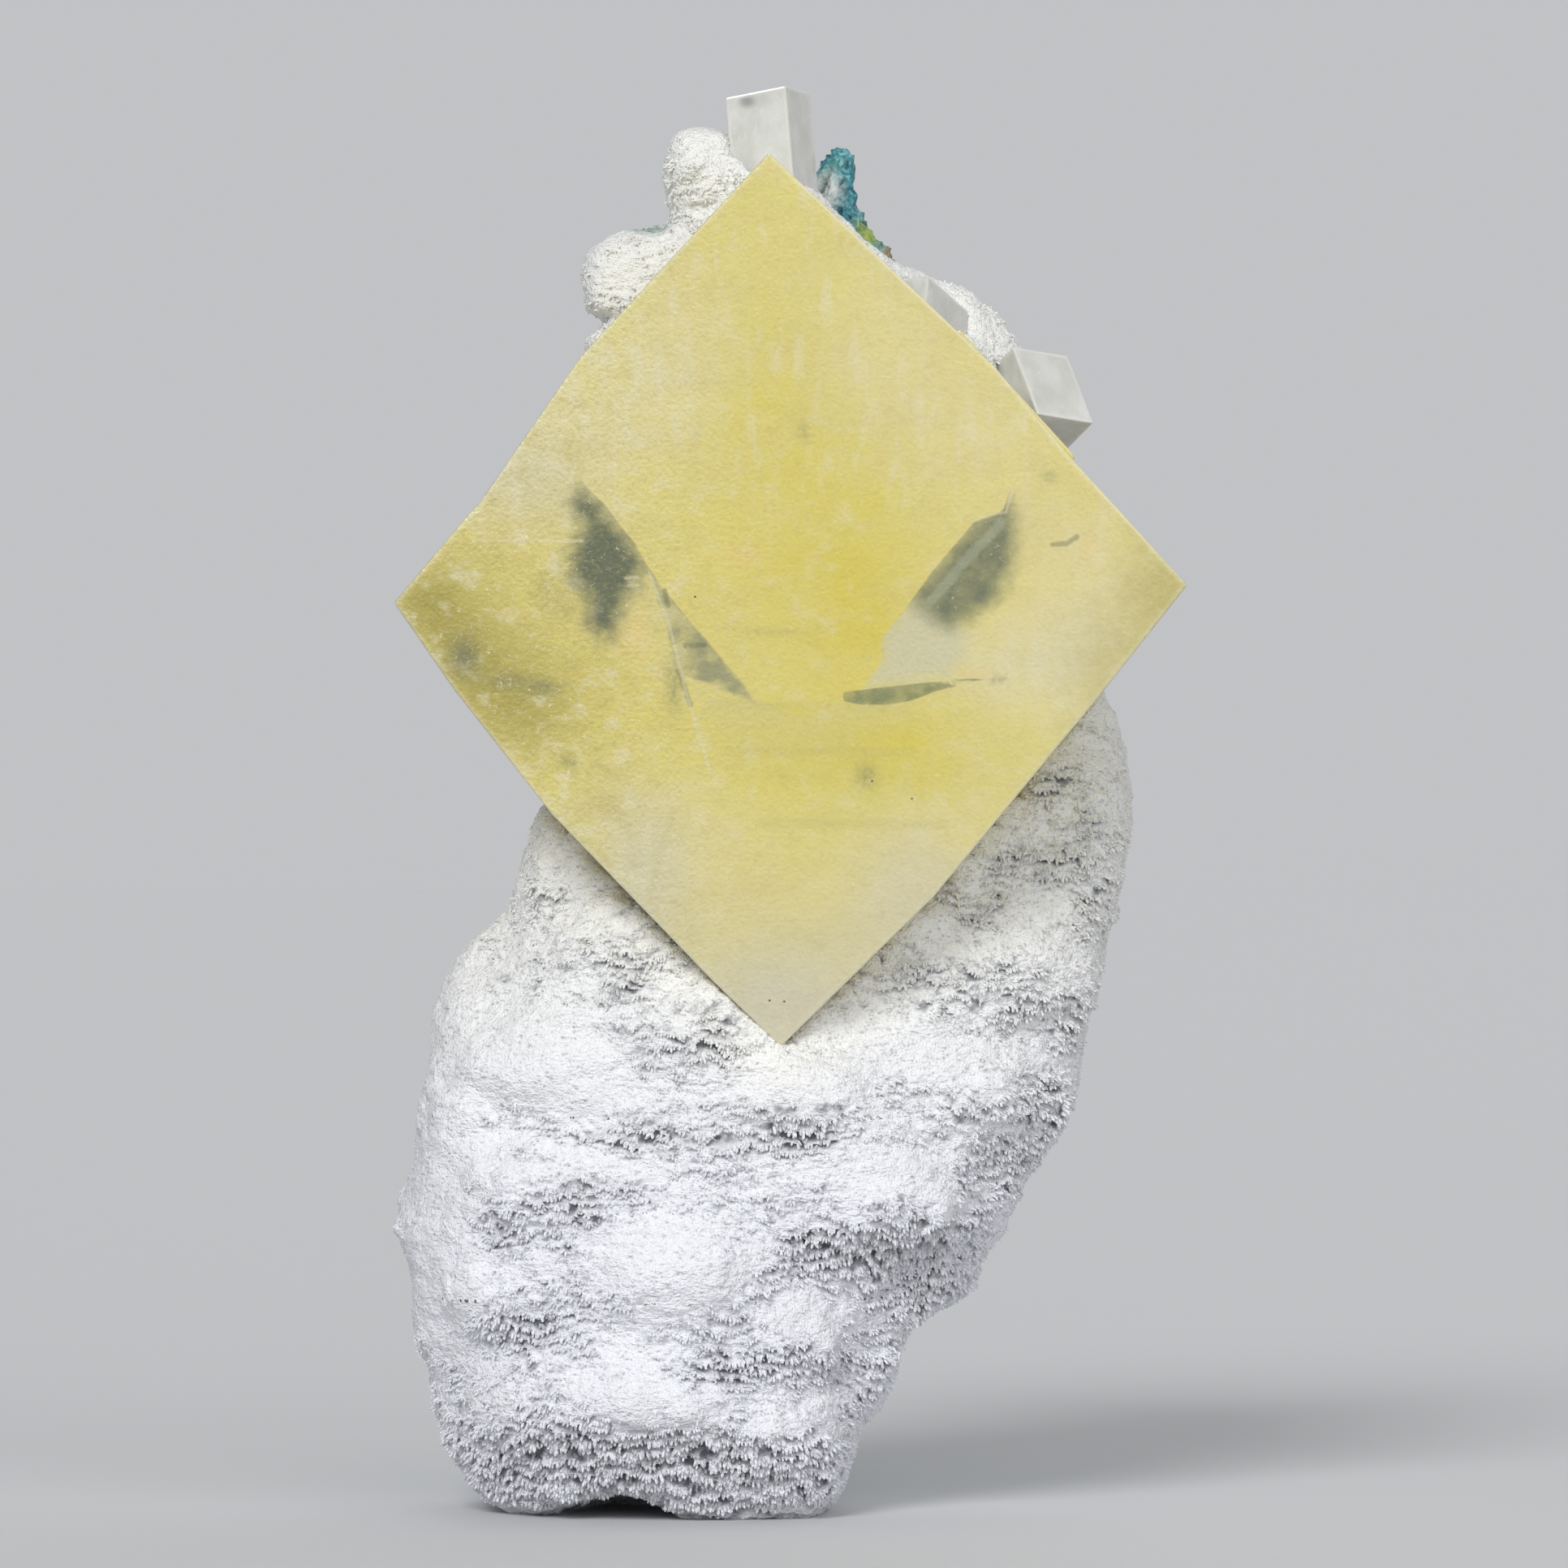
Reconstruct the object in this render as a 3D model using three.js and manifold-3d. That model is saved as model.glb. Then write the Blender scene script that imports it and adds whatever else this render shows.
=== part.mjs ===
// A calcite on mordenite specimen: one large flat-faced yellow calcite rhomb and three small pale ones,
// grown on a woolly white matrix, with a thin blue-green rind of the host rock left on its back.
// Millimetres, +Z up, the front of the specimen towards -Y. It stands on the flat cut under the matrix.
import * as THREE from "three";
import { mergeVertices } from "three/addons/utils/BufferGeometryUtils.js";
import Module from "manifold-3d";

const wasm = await Module();
wasm.setup();

const seatGap = 0.3; // clear space between two pieces that touch
const farSide = 400; // size of a block that cuts everything past a plane
const mergeWithin = 0.02; // points of a cut edge nearer to each other than this become one
const samePoint = 1e-4; // points of one geometry that belong together

// The large rhomb. Its front face leans forward, and its sides run straight back from it.
const faceTip = new THREE.Vector2(-1.0, 49.4); // lowest corner of the front face, as x and z
const tipDepth = -20; // y of the front face at that corner
const faceLean = 0.22; // how far the face comes forward for each millimetre of height
const rhombDepth = 34; // from the front face to the back face
const faceOutline = [
  [-1.0, 49.4], [14.7, 64.9], [31.6, 85.5], [40.5, 96.8], // lowest corner to right corner
  [27.7, 110.6], [20.7, 118.9], [-2.2, 140.3], // right corner to top corner
  [-21.4, 119.8], [-31.8, 105.0], [-32.8, 104.0], [-40.5, 95.0], // down the left, with a small step
  [-34.4, 86.1], [-24.5, 73.4], [-7.9, 56.1], // left corner back to the lowest one
];
const faceMiddle = [0, 94.8]; // as x and z, and about this far from each side
const faceInRadius = 30;
// A plate on the upper right side: it starts behind the front face and ends before the back one.
const ledge = { from: [16.2, 123.1], to: [29.2, 109.0], proud: 0.8, sunk: 3.2, setBack: 9, short: 1 };

// The small rhombs, each from one corner and three edges.
const topRhomb = {
  corner: [-0.5, 0, 150.0],
  edges: [[0.85, 1.75, -9.65], [-6.4, 1.0, -1.2], [2.6, 7.0, -0.2]],
  rooted: [0, 3], // the first edge is this much longer, down into the matrix
};
const shoulderRhomb = {
  corner: [14.5, 3.0, 130.2],
  edges: [[-0.6, -2.5, -7.0], [4.4, 4.75, -3.6], [-5.0, 7.25, -0.2]],
  rooted: [0, 0],
};
const sideRhomb = {
  corner: [23.4, 3.0, 122.7],
  edges: [[-3.2, 9.5, -3.2], [6.0, 3.25, -0.85], [2.6, -3.5, -7.3]],
  rooted: [0, 0],
};

// The matrix: overlapping round lobes, each as centre x y z and radius x y z.
const netStep = 3.0; // width of one cell of the faceted surface
const lobeBlend = 1.4; // how softly two lobes run into each other
const matrixRoom = [[-47, -31, -12], [46, 27, 157]]; // box that its net is made in
const backStretch = 2.2; // behind its centre a lobe is this much deeper than in front
const bulk = [
  [-16, -1, 14, 18.2, 19, 17.0],
  [-6, -1, 11.6, 10.8, 17, 13.2],
  [-14, -1, 30, 24.4, 20, 20.5],
  [-2, -1, 40, 24.6, 18, 20.5],
  [8, 2, 58, 22.6, 15, 22.5],
  [13.5, 4, 78, 21.4, 13, 20.5],
  [-12, -1, 50, 21.4, 18, 18.6],
  [-6, 4, 68, 19.6, 14, 17],
  [0, 6, 90, 22, 11, 26],
  [-1, 6, 112, 18.6, 10, 24],
  [9.5, 8, 116, 12.4, 9, 10.4],
  [-3, 6, 129, 9.6, 9, 9.4],
];
const rimKnobs = [
  [-22.6, -2, 67.2, 5.3, 8, 5.6], // upper left of the woolly front
  [-29.0, -1, 50.0, 8.0, 10, 11.2],
  [-31.4, -1, 41.0, 6.8, 9, 4.8],
  [-34.7, 0, 30.9, 6.3, 9, 5.8],
  [-34.4, 1, 19.4, 5.1, 9, 4.4],
  [-32.0, 1, 11.4, 5.3, 9, 4.2],
  [-28.6, 2, 6.0, 6.0, 10, 5.6],
  [0.7, -3, 6.2, 5.0, 11, 7.0],
  [6.3, 0, 14.6, 4.4, 9, 3.8],
  [12.9, 1, 24.6, 6.2, 9, 3.1],
  [16.9, 2, 30.4, 4.2, 9, 2.9],
  [18.9, 2, 34.4, 4.8, 8, 2.3],
  [21.4, 1, 39.4, 5.6, 8, 2.9],
  [24.4, 1, 45.4, 5.8, 9, 5.4],
  [27.2, 1, 56.4, 5.0, 9, 5.0],
  [29.4, 2, 64.6, 4.6, 8, 4.0],
  [30.2, 2, 73.0, 5.0, 9, 6.0],
  [-9.6, 4, 141.6, 4.1, 5, 4.6], // knob beside the top rhomb
  [-14.8, 5, 132.0, 4.4, 5, 2.0],
  [-19.0, 4, 131.2, 2.7, 4, 2.4], // two small knobs of the left arm
  [-18.6, 4, 127.6, 2.9, 4, 2.3],
  [-16.0, 6, 120.6, 5.4, 6, 5.4],
  [-2.4, 7, 137.6, 5.4, 6.5, 4.6], // under the top rhomb
  [15.2, 13, 123.8, 6.6, 5, 6.0], // right shoulder
  [19.0, 13, 120.8, 5.0, 5, 5.2],
  [22.0, 13, 116.0, 5.2, 6, 5.2], // holds the side rhomb
  [9.4, 11, 126.4, 5.0, 6, 4.4],
];
// Swellings of the woolly front: middle as x and z, half width, half height and how far they stand proud.
const frontSwellings = [
  { x: -22.8, z: 66.4, wide: 4.6, high: 4.2, proud: 2.0 }, // ridge beside the large rhomb
  { x: -17.6, z: 58.8, wide: 6.5, high: 4.6, proud: 2.8 },
  { x: -9.6, z: 52.0, wide: 6.0, high: 4.2, proud: 2.6 },
  { x: -24.3, z: 47.0, wide: 9.0, high: 6.0, proud: 2.6 },
  { x: -11.5, z: 39.5, wide: 8.0, high: 3.8, proud: 2.2 },
  { x: 0.3, z: 43.8, wide: 8.0, high: 4.2, proud: 2.8 },
  { x: -24.5, z: 34.5, wide: 9.0, high: 4.2, proud: 2.4 },
  { x: -12.0, z: 26.4, wide: 9.5, high: 5.8, proud: 2.8 },
  { x: 7.0, z: 32.8, wide: 10.5, high: 4.8, proud: 3.4 }, // stands over the strongest ledge
  { x: 16.5, z: 44.6, wide: 8.0, high: 4.6, proud: 2.8 },
  { x: 21.0, z: 57.0, wide: 7.0, high: 4.6, proud: 2.4 },
  { x: 12.0, z: 57.0, wide: 5.5, high: 4.2, proud: 1.6 },
  { x: 27.5, z: 72.0, wide: 5.5, high: 7.0, proud: 2.2 },
  { x: -28.0, z: 23.4, wide: 6.5, high: 4.0, proud: 2.2 },
  { x: -3.6, z: 18.6, wide: 8.5, high: 4.0, proud: 2.6 },
  { x: -15.5, z: 13.4, wide: 9.5, high: 3.6, proud: 2.4 },
  { x: 7.5, z: 20.6, wide: 5.0, high: 3.4, proud: 1.6 },
  { x: -27.5, z: 12.5, wide: 5.5, high: 3.8, proud: 1.8 },
  { x: -2.5, z: 8.4, wide: 6.5, high: 3.6, proud: 1.8 },
  { x: -32.0, z: 41.0, wide: 4.6, high: 4.2, proud: 1.4 },
];
const archUnder = [-18, -15, 0, 7, 12, 3.2]; // hollow in the lower edge, between two feet
// Low waves all over the wool, wider than high, that climb, run back and bend as they go.
const ripple = { rise: 0.5, across: 11, climb: 0.6, back: 0.5, upDown: 6.5, dip: 0.25, sink: 0.7, bend: 7 };

// The rind: a crust of low lumps on the broken back, which shows past the rim of the matrix in places.
const breakDepth = 16.5; // y of the broken back on the whole, where the matrix ends and the rind starts
const breakLean = 0.02; // how far back it leans for each millimetre of height
const breakWave = { rise: 2, across: 9, upDown: 12, shift: 0.5, bend: 0.6, bendHigh: 13 };
const rindGap = 0.5; // between the two where both are curved
const rindStep = 3.6; // width of one cell of its surface
const rindFoot = 4; // it ends this far above the cut
const rindRoom = [[-47, 2, -12], [46, 33, 157]]; // box that its net is made in
const rindRows = [
  { z: 14, from: -31, to: 2 },
  { z: 28, from: -34, to: 12 },
  { z: 43, from: -31, to: 21 },
  { z: 58, from: -27, to: 26 },
  { z: 73, from: -22, to: 29 },
  { z: 88, from: -19, to: 23 },
  { z: 103, from: -17, to: 14 },
  { z: 118, from: -17, to: 15 },
  { z: 130, from: -12, to: 6 },
];
// Spacing, half height and thickness of the lumps of a row, and how each lies off its row and over the next.
const rindLump = {
  apart: 13, high: 10, thick: 5.5, uneven: 1.6,
  stray: 2, rowTurn: 2.4, turn: 1.7, lap: 0.75, seat: 1,
};
const rindRim = [
  { x: 3.0, z: 140.2, wide: 3.2, high: 4.0 }, // beside the top rhomb
  { x: 4.6, z: 136.4, wide: 3.0, high: 3.4 },
  { x: 6.2, z: 133.0, wide: 3.6, high: 3.2 },
  { x: 8.8, z: 130.4, wide: 4.0, high: 2.6 },
  { x: 13.4, z: 21.8, wide: 4.8, high: 4.4 }, // low on the right
  { x: -14.6, z: 133.0, wide: 4.2, high: 3.4 }, // over the left arm
];

const white = new THREE.MeshStandardMaterial({ color: 0xeeeeec, roughness: 0.95, metalness: 0 });
const yellow = new THREE.MeshStandardMaterial({ color: 0xddd080, roughness: 0.35, metalness: 0 });
const pale = new THREE.MeshStandardMaterial({ color: 0xcfcec6, roughness: 0.3, metalness: 0 });
const blueGreen = new THREE.MeshStandardMaterial({ color: 0x3f8287, roughness: 0.9, metalness: 0 });

// A closed geometry as a solid that can be cut and joined, and a solid as a geometry.
function solidOf(geometry) {
  const bare = geometry.clone();
  bare.deleteAttribute("normal");
  bare.deleteAttribute("uv");
  const merged = mergeVertices(bare, samePoint);
  return new wasm.Manifold(
    new wasm.Mesh({
      numProp: 3,
      vertProperties: new Float32Array(merged.attributes.position.array),
      triVerts: new Uint32Array(merged.index.array),
    }),
  );
}

function geometryOf(solid) {
  const mesh = solid.getMesh();
  const rough = new THREE.BufferGeometry();
  rough.setAttribute("position", new THREE.BufferAttribute(mesh.vertProperties, 3));
  rough.setIndex(new THREE.BufferAttribute(mesh.triVerts, 1));
  const geometry = mergeVertices(rough, mergeWithin);
  const faces = [];
  for (let i = 0; i < geometry.index.count; i += 3) {
    const [a, b, c] = [0, 1, 2].map((n) => geometry.index.getX(i + n));
    if (a !== b && b !== c && c !== a) faces.push(a, b, c);
  }
  geometry.setIndex(faces);
  geometry.computeVertexNormals();
  return geometry;
}

// A block that fills everything past a plane, for cuts square to one axis.
function blockPast(axis, plane, sign) {
  const block = new THREE.BoxGeometry(farSide, farSide, farSide);
  const shift = new THREE.Vector3();
  shift[axis] = plane + (sign * farSide) / 2;
  return solidOf(block.translate(shift.x, shift.y, shift.z));
}

// The outline drawn in x and z, pushed back along y from the leaning front face.
function leaningPrism(points, front, depth) {
  const shape = new THREE.Shape(points.map(([x, z]) => new THREE.Vector2(x, z)));
  const geometry = new THREE.ExtrudeGeometry(shape, { depth, bevelEnabled: false });
  const lean = new THREE.Matrix4().set(
    1, 0, 0, 0,
    0, -faceLean, -1, front + depth + faceLean * faceTip.y,
    0, 1, 0, 0,
    0, 0, 0, 1,
  );
  return solidOf(geometry.applyMatrix4(lean));
}

function largeRhomb(grown) {
  const scale = 1 + grown / faceInRadius;
  const outline = faceOutline.map((p) => p.map((v, i) => faceMiddle[i] + (v - faceMiddle[i]) * scale));
  const body = leaningPrism(outline, tipDepth - grown, rhombDepth + 2 * grown);
  const along = new THREE.Vector2(...ledge.to).sub(new THREE.Vector2(...ledge.from)).normalize();
  const outwards = new THREE.Vector2(-along.y, along.x);
  const out = outwards.clone().multiplyScalar(ledge.proud + grown);
  const inwards = outwards.clone().multiplyScalar(-ledge.sunk);
  const corner = (end, step, slide) => [end[0] + step.x + along.x * slide, end[1] + step.y + along.y * slide];
  const plate = leaningPrism(
    [
      corner(ledge.from, inwards, 0),
      corner(ledge.to, inwards, 0),
      corner(ledge.to, out, -ledge.proud + grown),
      corner(ledge.from, out, ledge.proud - grown),
    ],
    tipDepth + ledge.setBack - grown,
    rhombDepth - ledge.setBack - ledge.short + 2 * grown,
  );
  return body.add(plate);
}

// A small rhomb: eight corners from one corner and three edges, grown on every side by the same amount.
function smallRhomb({ corner, edges, rooted }, grown) {
  const [u, v, w] = edges.map((e) => new THREE.Vector3(...e));
  u.setLength(u.length() + rooted[1]);
  const sides = [u, v, w];
  const start = new THREE.Vector3(...corner);
  sides.forEach((s) => start.addScaledVector(s, -grown / s.length()));
  sides.forEach((s) => s.setLength(s.length() + 2 * grown));
  const cube = new THREE.BoxGeometry(1, 1, 1).translate(0.5, 0.5, 0.5);
  const frame = new THREE.Matrix4().makeBasis(u, v, w);
  if (frame.determinant() < 0) frame.makeBasis(v, u, w);
  return solidOf(cube.applyMatrix4(frame.setPosition(start)));
}

// Distance to a lobe, near enough close to its surface: negative inside.
function lobeDistance([cx, cy, cz, rx, front, rz], x, y, z) {
  const ry = y > cy ? front * backStretch : front;
  const near = Math.hypot((x - cx) / rx, (y - cy) / ry, (z - cz) / rz);
  const slope = Math.hypot((x - cx) / rx ** 2, (y - cy) / ry ** 2, (z - cz) / rz ** 2);
  return slope > 0 ? (near * (near - 1)) / slope : -Math.min(rx, ry, rz);
}

function unionOf(lobes, x, y, z) {
  let sum = 0;
  for (const lobe of lobes) sum += Math.exp(-lobeDistance(lobe, x, y, z) / lobeBlend);
  return -lobeBlend * Math.log(sum);
}

// A swelling as a lobe, seated on the front of the bulk where it stands.
function seatedLobe({ x, z, wide, high, proud }) {
  const start = -60;
  const stride = 0.25;
  let y = start;
  while (unionOf([...bulk, ...rimKnobs], x, y, z) > 0 && y < breakDepth) y += stride;
  const thick = (wide + high) / 2;
  return [x, y - proud + thick, z, wide, thick, high];
}

const matrixLobes = [...bulk, ...rimKnobs, ...frontSwellings.map(seatedLobe)];

// How far back the broken face between matrix and rind lies.
function breakAt(x, z) {
  const bent = breakWave.bend * Math.sin(z / breakWave.bendHigh);
  const wave = Math.sin(x / breakWave.across + bent) * Math.sin(z / breakWave.upDown + breakWave.shift);
  return breakDepth + breakWave.rise * wave + breakLean * z;
}

function woolField(x, y, z) {
  const sideways = (2 * Math.PI * (x + ripple.climb * z + ripple.back * y)) / ripple.across;
  const upwards = (2 * Math.PI * (z - ripple.dip * x + ripple.sink * y)) / ripple.upDown;
  const waves = Math.sin(sideways) * Math.sin(upwards + Math.sin(x / ripple.bend));
  return unionOf(matrixLobes, x, y, z) - ripple.rise * waves;
}

function matrixField(x, y, z) {
  return Math.max(woolField(x, y, z), -lobeDistance(archUnder, x, y, z), y - breakAt(x, z));
}

// The rind's lumps, row by row, and those at its rim, all seated on the break.
function seatedLump(x, z, wide, high, thick) {
  return [x, breakAt(x, z) + rindLump.seat, z, wide, thick, high];
}

const rindLobes = rindRows.flatMap(({ z, from, to }, row) => {
  const count = Math.ceil((to - from) / rindLump.apart);
  const wide = (to - from) / count;
  return Array.from({ length: count }, (_, n) => {
    const turn = rindLump.rowTurn * row + rindLump.turn * n; // sets a lump off its row and varies its thickness
    const thick = rindLump.thick + rindLump.uneven * Math.sin(turn);
    const height = z + rindLump.stray * Math.cos(turn);
    return seatedLump(from + (n + 0.5) * wide, height, rindLump.lap * wide, rindLump.high, thick / backStretch);
  });
});
for (const { x, z, wide, high } of rindRim)
  rindLobes.push(seatedLump(x, z, wide, high, rindLump.thick / backStretch));

function rindField(x, y, z) {
  return Math.max(unionOf(rindLobes, x, y, z), breakAt(x, z) + rindGap - y);
}

// Whether the inner corners of a cell hang together along its edges, and the outer ones too. Bit n is corner n.
function isSimple(pattern) {
  const corners = [0, 1, 2, 3, 4, 5, 6, 7];
  return [0, 1].every((side) => {
    const members = corners.filter((n) => ((pattern >> n) & 1) === side);
    const reached = new Set(members.slice(0, 1));
    for (const m of reached)
      for (const n of [m ^ 1, m ^ 2, m ^ 4])
        if (members.includes(n)) reached.add(n);
    return reached.size === members.length;
  });
}

// Where the surface would touch itself inside a cell, the weakest corner of that cell changes sides.
function untangle(values, count, indexOf) {
  const simple = Array.from({ length: 256 }, (_, pattern) => isSimple(pattern));
  const weak = 1e-3;
  let changed = true;
  while (changed) {
    changed = false;
    for (let k = 0; k < count[2] - 1; k++)
      for (let j = 0; j < count[1] - 1; j++)
        for (let i = 0; i < count[0] - 1; i++) {
          const corners = [0, 1, 2, 3, 4, 5, 6, 7].map((n) =>
            indexOf([i + (n & 1), j + ((n >> 1) & 1), k + (n >> 2)]),
          );
          const pattern = corners.reduce((sum, c, n) => sum + (values[c] < 0 ? 1 << n : 0), 0);
          if (simple[pattern]) continue;
          const least = corners.reduce((a, b) => (Math.abs(values[b]) < Math.abs(values[a]) ? b : a));
          values[least] = values[least] < 0 ? weak + Math.abs(values[least]) : -weak - values[least];
          changed = true;
        }
  }
}

// The closed surface where a field is zero: a point in each cell that it crosses, a face round each crossed edge.
function netSolid(field, [low, high], step) {
  const count = low.map((v, i) => Math.ceil((high[i] - v) / step) + 1);
  const indexOf = ([i, j, k]) => i + count[0] * (j + count[1] * k);
  const values = [];
  for (let k = 0; k < count[2]; k++)
    for (let j = 0; j < count[1]; j++)
      for (let i = 0; i < count[0]; i++)
        values.push(field(low[0] + i * step, low[1] + j * step, low[2] + k * step));
  untangle(values, count, indexOf);
  const axes = [[1, 0, 0], [0, 1, 0], [0, 0, 1]];
  const shifted = (p, a, n) => p.map((v, i) => v + n * a[i]);
  const crosses = (p, q) => values[indexOf(p)] < 0 !== values[indexOf(q)] < 0;
  const pointOf = new Map();
  const points = [];

  function cellPoint(cell) {
    const key = indexOf(cell);
    if (pointOf.has(key)) return pointOf.get(key);
    const sum = [0, 0, 0];
    let found = 0;
    axes.forEach((axis, n) => {
      const [b, c] = [axes[(n + 1) % 3], axes[(n + 2) % 3]];
      for (const [s, t] of [[0, 0], [1, 0], [0, 1], [1, 1]]) {
        const p = shifted(shifted(cell, b, s), c, t);
        const q = shifted(p, axis, 1);
        if (!crosses(p, q)) continue;
        const part = values[indexOf(p)] / (values[indexOf(p)] - values[indexOf(q)]);
        p.forEach((v, i) => (sum[i] += v + part * axis[i]));
        found += 1;
      }
    });
    points.push(...sum.map((v, i) => low[i] + (step * v) / found));
    pointOf.set(key, points.length / 3 - 1);
    return pointOf.get(key);
  }

  const faces = [];
  for (let k = 1; k < count[2] - 1; k++)
    for (let j = 1; j < count[1] - 1; j++)
      for (let i = 1; i < count[0] - 1; i++)
        axes.forEach((axis, n) => {
          const p = [i, j, k];
          if (!crosses(p, shifted(p, axis, 1))) return;
          const [b, c] = [axes[(n + 1) % 3], axes[(n + 2) % 3]];
          const cells = [shifted(shifted(p, b, -1), c, -1), shifted(p, c, -1), p, shifted(p, b, -1)];
          const ring = cells.map(cellPoint);
          if (values[indexOf(p)] >= 0) ring.reverse();
          faces.push(ring[0], ring[1], ring[2], ring[0], ring[2], ring[3]);
        });
  const geometry = new THREE.BufferGeometry();
  geometry.setAttribute("position", new THREE.Float32BufferAttribute(points, 3));
  geometry.setIndex(faces);
  return solidOf(geometry);
}

function largestPiece(solid) {
  return solid.decompose().sort((a, b) => b.volume() - a.volume())[0];
}

function matrix() {
  let solid = netSolid(matrixField, matrixRoom, netStep);
  solid = solid.subtract(blockPast("z", 0, -1)).subtract(largeRhomb(seatGap));
  for (const rhomb of [topRhomb, shoulderRhomb, sideRhomb])
    solid = solid.subtract(smallRhomb(rhomb, seatGap));
  return largestPiece(solid);
}

function rind() {
  const solid = netSolid(rindField, rindRoom, rindStep);
  return largestPiece(solid.subtract(blockPast("z", rindFoot, -1)));
}

const specimen = new THREE.Group();
function addPiece(name, solid, material) {
  const mesh = new THREE.Mesh(geometryOf(solid), material);
  mesh.name = name;
  specimen.add(mesh);
}

addPiece("mordenite_matrix", matrix(), white);
addPiece("calcite_main", largeRhomb(0), yellow);
addPiece("calcite_top", smallRhomb(topRhomb, 0), pale);
addPiece("calcite_right_upper", smallRhomb(shoulderRhomb, 0), pale);
addPiece("calcite_right", smallRhomb(sideRhomb, 0), pale);
addPiece("celadonite_rind", rind(), blueGreen);

// The origin is under the middle of the whole specimen, on the surface that it stands on.
const reach = new THREE.Box3().setFromObject(specimen);
const middle = reach.getCenter(new THREE.Vector3());
specimen.position.set(-middle.x, -middle.y, -reach.min.z);

export default specimen;
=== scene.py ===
import math

import bmesh
import bpy
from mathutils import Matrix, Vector


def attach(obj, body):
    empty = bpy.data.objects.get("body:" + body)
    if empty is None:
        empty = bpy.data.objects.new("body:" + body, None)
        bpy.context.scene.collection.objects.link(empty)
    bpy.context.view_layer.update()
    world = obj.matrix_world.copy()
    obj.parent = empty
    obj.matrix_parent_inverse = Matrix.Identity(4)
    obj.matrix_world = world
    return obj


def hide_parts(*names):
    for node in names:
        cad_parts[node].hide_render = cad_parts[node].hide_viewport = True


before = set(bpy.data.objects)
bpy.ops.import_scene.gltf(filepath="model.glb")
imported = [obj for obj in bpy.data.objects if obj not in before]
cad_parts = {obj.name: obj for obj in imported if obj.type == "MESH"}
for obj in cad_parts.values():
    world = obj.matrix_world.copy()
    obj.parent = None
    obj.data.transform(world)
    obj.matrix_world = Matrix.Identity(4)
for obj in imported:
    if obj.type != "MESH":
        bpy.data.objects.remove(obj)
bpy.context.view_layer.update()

mm = 0.001


def linear(code):
    # an sRGB hex value as the linear colour that a shader socket takes
    parts = [int(code[i:i + 2], 16) / 255 for i in (1, 3, 5)]
    return [p / 12.92 if p <= 0.04045 else ((p + 0.055) / 1.055) ** 2.4 for p in parts] + [1.0]


def addNode(tree, kind, values=None, links=None):
    # one node with its settings; a key that names an input sets that input, and links feed inputs from outputs
    node = tree.nodes.new(kind)
    for key, value in (values or {}).items():
        if isinstance(key, int) or key in node.inputs:
            node.inputs[key].default_value = value
        else:
            setattr(node, key, value)
    for key, source in (links or {}).items():
        tree.links.new(source, node.inputs[key])
    return node


def feed(tree, node, sockets):
    # each input gets a number, a hex colour or the output of another node
    for socket, value in sockets.items():
        if isinstance(value, str):
            node.inputs[socket].default_value = linear(value)
        elif isinstance(value, (int, float, tuple)):
            node.inputs[socket].default_value = value
        else:
            tree.links.new(value, node.inputs[socket])


def mixColor(tree, amount, first, second):
    node = addNode(tree, "ShaderNodeMix", {"data_type": "RGBA"})
    feed(tree, node, {0: amount, 6: first, 7: second})
    return node.outputs[2]


def math2(tree, operation, first, second=0.0, clamp=False):
    node = addNode(tree, "ShaderNodeMath", {"operation": operation, "use_clamp": clamp})
    feed(tree, node, {0: first, 1: second})
    return node.outputs[0]


def vectorMath(tree, operation, first, second):
    node = addNode(tree, "ShaderNodeVectorMath", {"operation": operation})
    feed(tree, node, {0: first, "Scale" if operation == "SCALE" else 1: second})
    return node.outputs[0]


def product(tree, *values):
    total = values[0]
    for value in values[1:]:
        total = math2(tree, "MULTIPLY", total, value)
    return total


def addedUp(tree, *values):
    total = values[0]
    for value in values[1:]:
        total = math2(tree, "ADD", total, value)
    return total


def mapRange(tree, source, low, high, toLow=0.0, toHigh=1.0, smooth=True):
    node = addNode(tree, "ShaderNodeMapRange", {
        "interpolation_type": "SMOOTHSTEP" if smooth else "LINEAR",
        "From Min": low, "From Max": high, "To Min": toLow, "To Max": toHigh}, {"Value": source})
    return node.outputs["Result"]


def along(tree, vector, axis):
    # one of a vector's three numbers
    return addNode(tree, "ShaderNodeSeparateXYZ", links={0: vector}).outputs[axis]


def vectorOf(tree, **parts):
    return addNode(tree, "ShaderNodeCombineXYZ", links=parts).outputs[0]


def turned(tree, vector, degrees):
    # turned as the front is seen
    return addNode(tree, "ShaderNodeVectorRotate", {
        "rotation_type": "Y_AXIS", "Angle": math.radians(degrees)}, {"Vector": vector}).outputs[0]


def waves(tree, place, wide, high, seed, detail):
    # noise about nought whose swellings are wide across and high upwards
    scaled = vectorMath(tree, "MULTIPLY", place, (1 / (wide * mm), 1 / (wide * mm), 1 / (high * mm)))
    moved = vectorMath(tree, "ADD", scaled, (seed, seed, seed))
    noise = addNode(tree, "ShaderNodeTexNoise", {"Scale": 1.0, "Detail": detail}, {"Vector": moved})
    return math2(tree, "SUBTRACT", noise.outputs[0], 0.5)


def nearness(tree, place, middle, reach, blank=(1, 1, 1)):
    # one at a place and nought at its reach, a value for each axis; blank leaves an axis out
    apart = vectorMath(tree, "SUBTRACT", place, tuple(v * mm for v in middle))
    scaled = vectorMath(tree, "MULTIPLY", apart, tuple(b / (v * mm) for b, v in zip(blank, reach)))
    length = addNode(tree, "ShaderNodeVectorMath", {"operation": "LENGTH"}, {0: scaled}).outputs["Value"]
    return mapRange(tree, length, 1.3, 0.2)


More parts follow.
